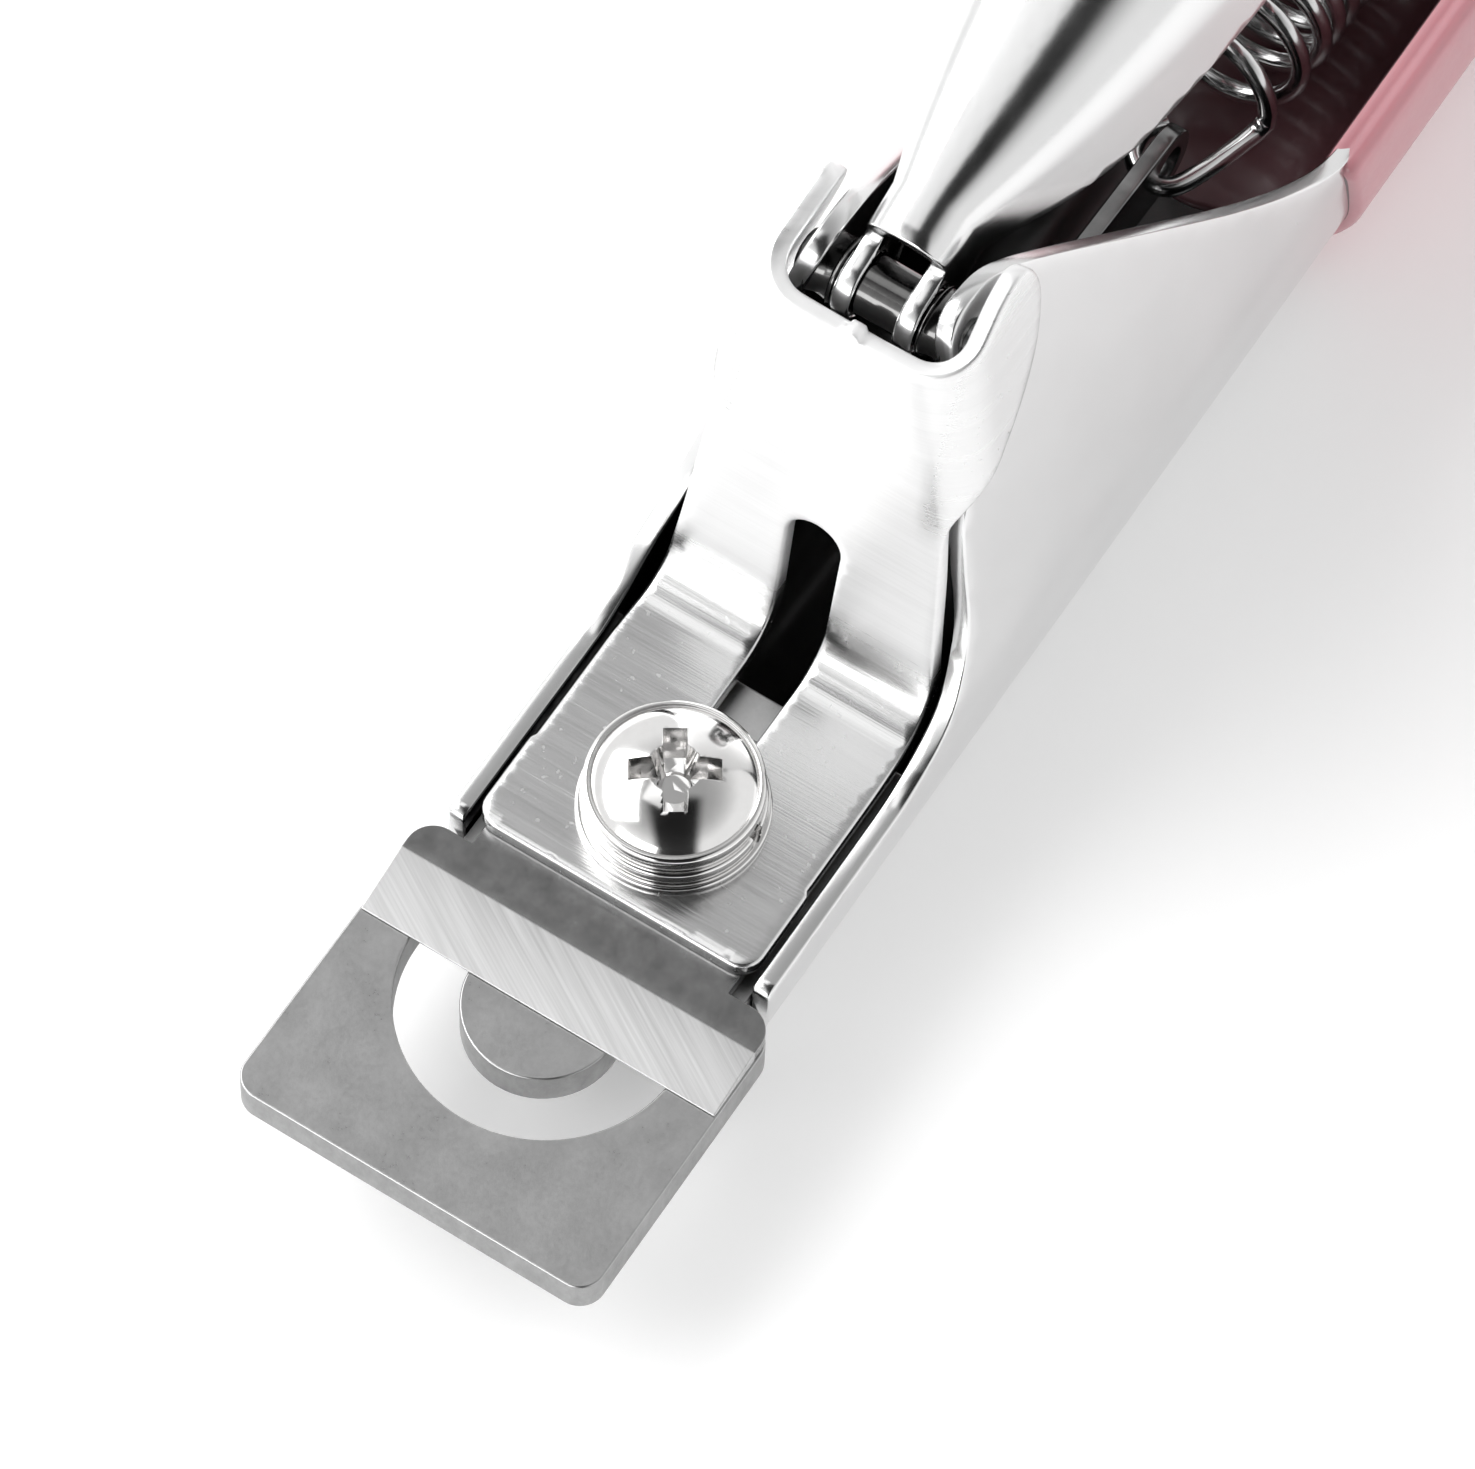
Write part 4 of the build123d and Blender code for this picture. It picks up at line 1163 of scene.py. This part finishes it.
# ---------------------------------------------------------------- floor and lights
def make_stage():
    """A plain pale floor and soft boxes."""
    finish = Finish("pale floor", Metallic=0.0, Roughness=0.9, Specular_IOR_Level=0.1)
    finish.shader.inputs["Base Color"].default_value = (0.93, 0.93, 0.93, 1)
    finish.shader.inputs["Emission Color"].default_value = (1, 1, 1, 1)
    finish.shader.inputs["Emission Strength"].default_value = 0.14
    span = 1.6
    floor = make_piece(
        "floor", [(-span, -span, 0), (span, -span, 0), (span, span, 0), (-span, span, 0)], [(0, 1, 2, 3)],
        finish.material,
    )
    for polygon in floor.data.polygons:
        polygon.use_smooth = False
    if floor.data.polygons[0].normal.z < 0:
        floor.data.flip_normals()
    scene = bpy.context.scene
    scene.view_settings.view_transform = "Standard"
    scene.world = soft_room()
    for name, azimuth, height, distance, size, power, mirrored in LAMPS:
        light = bpy.data.lights.new(name, "AREA")
        light.shape = "RECTANGLE"
        light.size, light.size_y = size
        light.energy = power
        lamp = bpy.data.objects.new(name, light)
        lamp.visible_glossy = mirrored
        towards = direction(radians(azimuth), radians(height))
        turn = towards.to_track_quat("Z", "Y").to_matrix().to_4x4()
        lamp.matrix_world = Matrix.Translation(LAMP_TARGET + towards * distance) @ turn
        scene.collection.objects.link(lamp)


LAMP_TARGET = Vector((0.03, 0, 0.01))
# name, azimuth, height, distance, size, power, whether metal mirrors it
LAMPS = [
    ("key softbox", 285, 42, 1.7, (2.0, 1.3), 26.0, True),
    ("rear softbox", 150, 38, 1.8, (1.6, 1.0), 9.0, False),
    ("overhead softbox", 268, 77, 1.6, (0.7, 0.5), 1.0, True),
    ("front softbox", -8, 16, 1.3, (1.0, 0.5), 5.0, True),
]
ROOM_GREY = 0.40
ROOM_SIDES = 0.95
STAND_AZIMUTH = radians(36)


class RoomNodes(Finish):
    """The same node tools, for the room's light."""

    def __init__(self, tree):
        self.tree = tree
        self.place = self.node("ShaderNodeTexCoord").outputs["Generated"]


def soft_room():
    """A pale room, grey overhead, with a dark stand over the front of the tool."""
    world = bpy.data.worlds.new("soft room")
    world.use_nodes = True
    room = RoomNodes(world.node_tree)
    x, y, z = room.axes()
    forward = x * cos(STAND_AZIMUTH) + y * sin(STAND_AZIMUTH)
    across = y * cos(STAND_AZIMUTH) - x * sin(STAND_AZIMUTH)
    stand = (1 - across.size().span(0.26, 0.44)) * forward.span(-0.12, 0.02)
    overhead = z.span(0.45, 0.95)
    light = (overhead * (ROOM_GREY - ROOM_SIDES) + ROOM_SIDES) * (1 - stand * 0.97)
    background = world.node_tree.nodes["Background"]
    background.inputs["Color"].default_value = (1, 1, 1, 1)
    room.feed(background.inputs["Strength"], light)
    return world


# ---------------------------------------------------------------- the tool
make_camera()
make_stage()

LOWER_MIDDLE = 5 * MM
LEVER_MIDDLE = (PIN_Z + PIN_X * tan(LEVER_REST) - 2.5) * MM
STEEL = {
    "brushed_sheet": brushed_sheet(),
    "lower_sheet": polished_sheet("lower handle sheet", LOWER_MIDDLE, 0.0),
    "upper_sheet": polished_sheet("upper handle sheet", LEVER_MIDDLE, -tan(LEVER_REST)),
    "plate_steel": plate_steel(),
    "blade_steel": blade_steel(),
    "bright_hardware": bright_hardware(),
    "dark_steel": dark_steel(),
    "spring_wire": spring_wire(),
    "lower_vinyl": pink_vinyl("lower grip vinyl", LOWER_MIDDLE, 0.0),
    "upper_vinyl": pink_vinyl("upper grip vinyl", LEVER_MIDDLE, -tan(LEVER_REST)),
}
SPOOL_STEEL = bright_hardware("dark plated spools", 0.16, 0.08)

make_lower_handle(STEEL["lower_sheet"])
make_lower_grip(STEEL["lower_vinyl"])
make_upper_handle(STEEL["upper_sheet"])
make_upper_grip(STEEL["upper_vinyl"])
make_slide_cover(STEEL["brushed_sheet"])
make_screw(STEEL["bright_hardware"])
make_washer("flat_washer", "bright_flat_washer", 0.14 * MM, STEEL["bright_hardware"])
make_washer("nut_washer", "bright_nut_washer", 0.14 * MM, STEEL["bright_hardware"])
make_lock_washer(STEEL["bright_hardware"])
make_pin("pivot_pin", "staked_pivot_pin", "frame", STEEL["dark_steel"])
make_pin("drive_pin", "turned_drive_pin", "carriage", STEEL["dark_steel"])
EAR_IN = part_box("pivot_spacers")[1].y
SLEEVE_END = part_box("lever_sleeve")[1].y
make_spool(
    "pivot_spacers", "waisted_spacers", "frame",
    [(-EAR_IN + 0.05 * MM, -SLEEVE_END - 0.06 * MM), (SLEEVE_END + 0.06 * MM, EAR_IN - 0.05 * MM)],
    0.22 * MM, PIN_R * MM + 0.03 * MM, SPOOL_STEEL,
)
make_spool(
    "lever_sleeve", "waisted_sleeve", "lever", [(-SLEEVE_END, SLEEVE_END)],
    0.0, PIN_R * MM + 0.03 * MM, SPOOL_STEEL,
)
make_spring(STEEL["spring_wire"])
EASED = [
    ("head_plate", "plate_steel", 0.28, "frame"),
    ("head_bed", "dark_steel", 0.15, "frame"),
    ("head_rivets", "bright_hardware", 0.12, "frame"),
    ("spring_anchor", "dark_steel", 0.12, "frame"),
    ("anchor_rivet", "bright_hardware", 0.12, "frame"),
    ("blade", "blade_steel", 0.05, "carriage"),
    ("slide_nut", "bright_hardware", 0.18, "carriage"),
    ("drive_lugs", "dark_steel", 0.10, "carriage"),
    ("pull_link", "dark_steel", 0.14, "carriage"),
]
for node, slot, width, body in EASED:
    eased_node(node, STEEL[slot], width * MM, body)
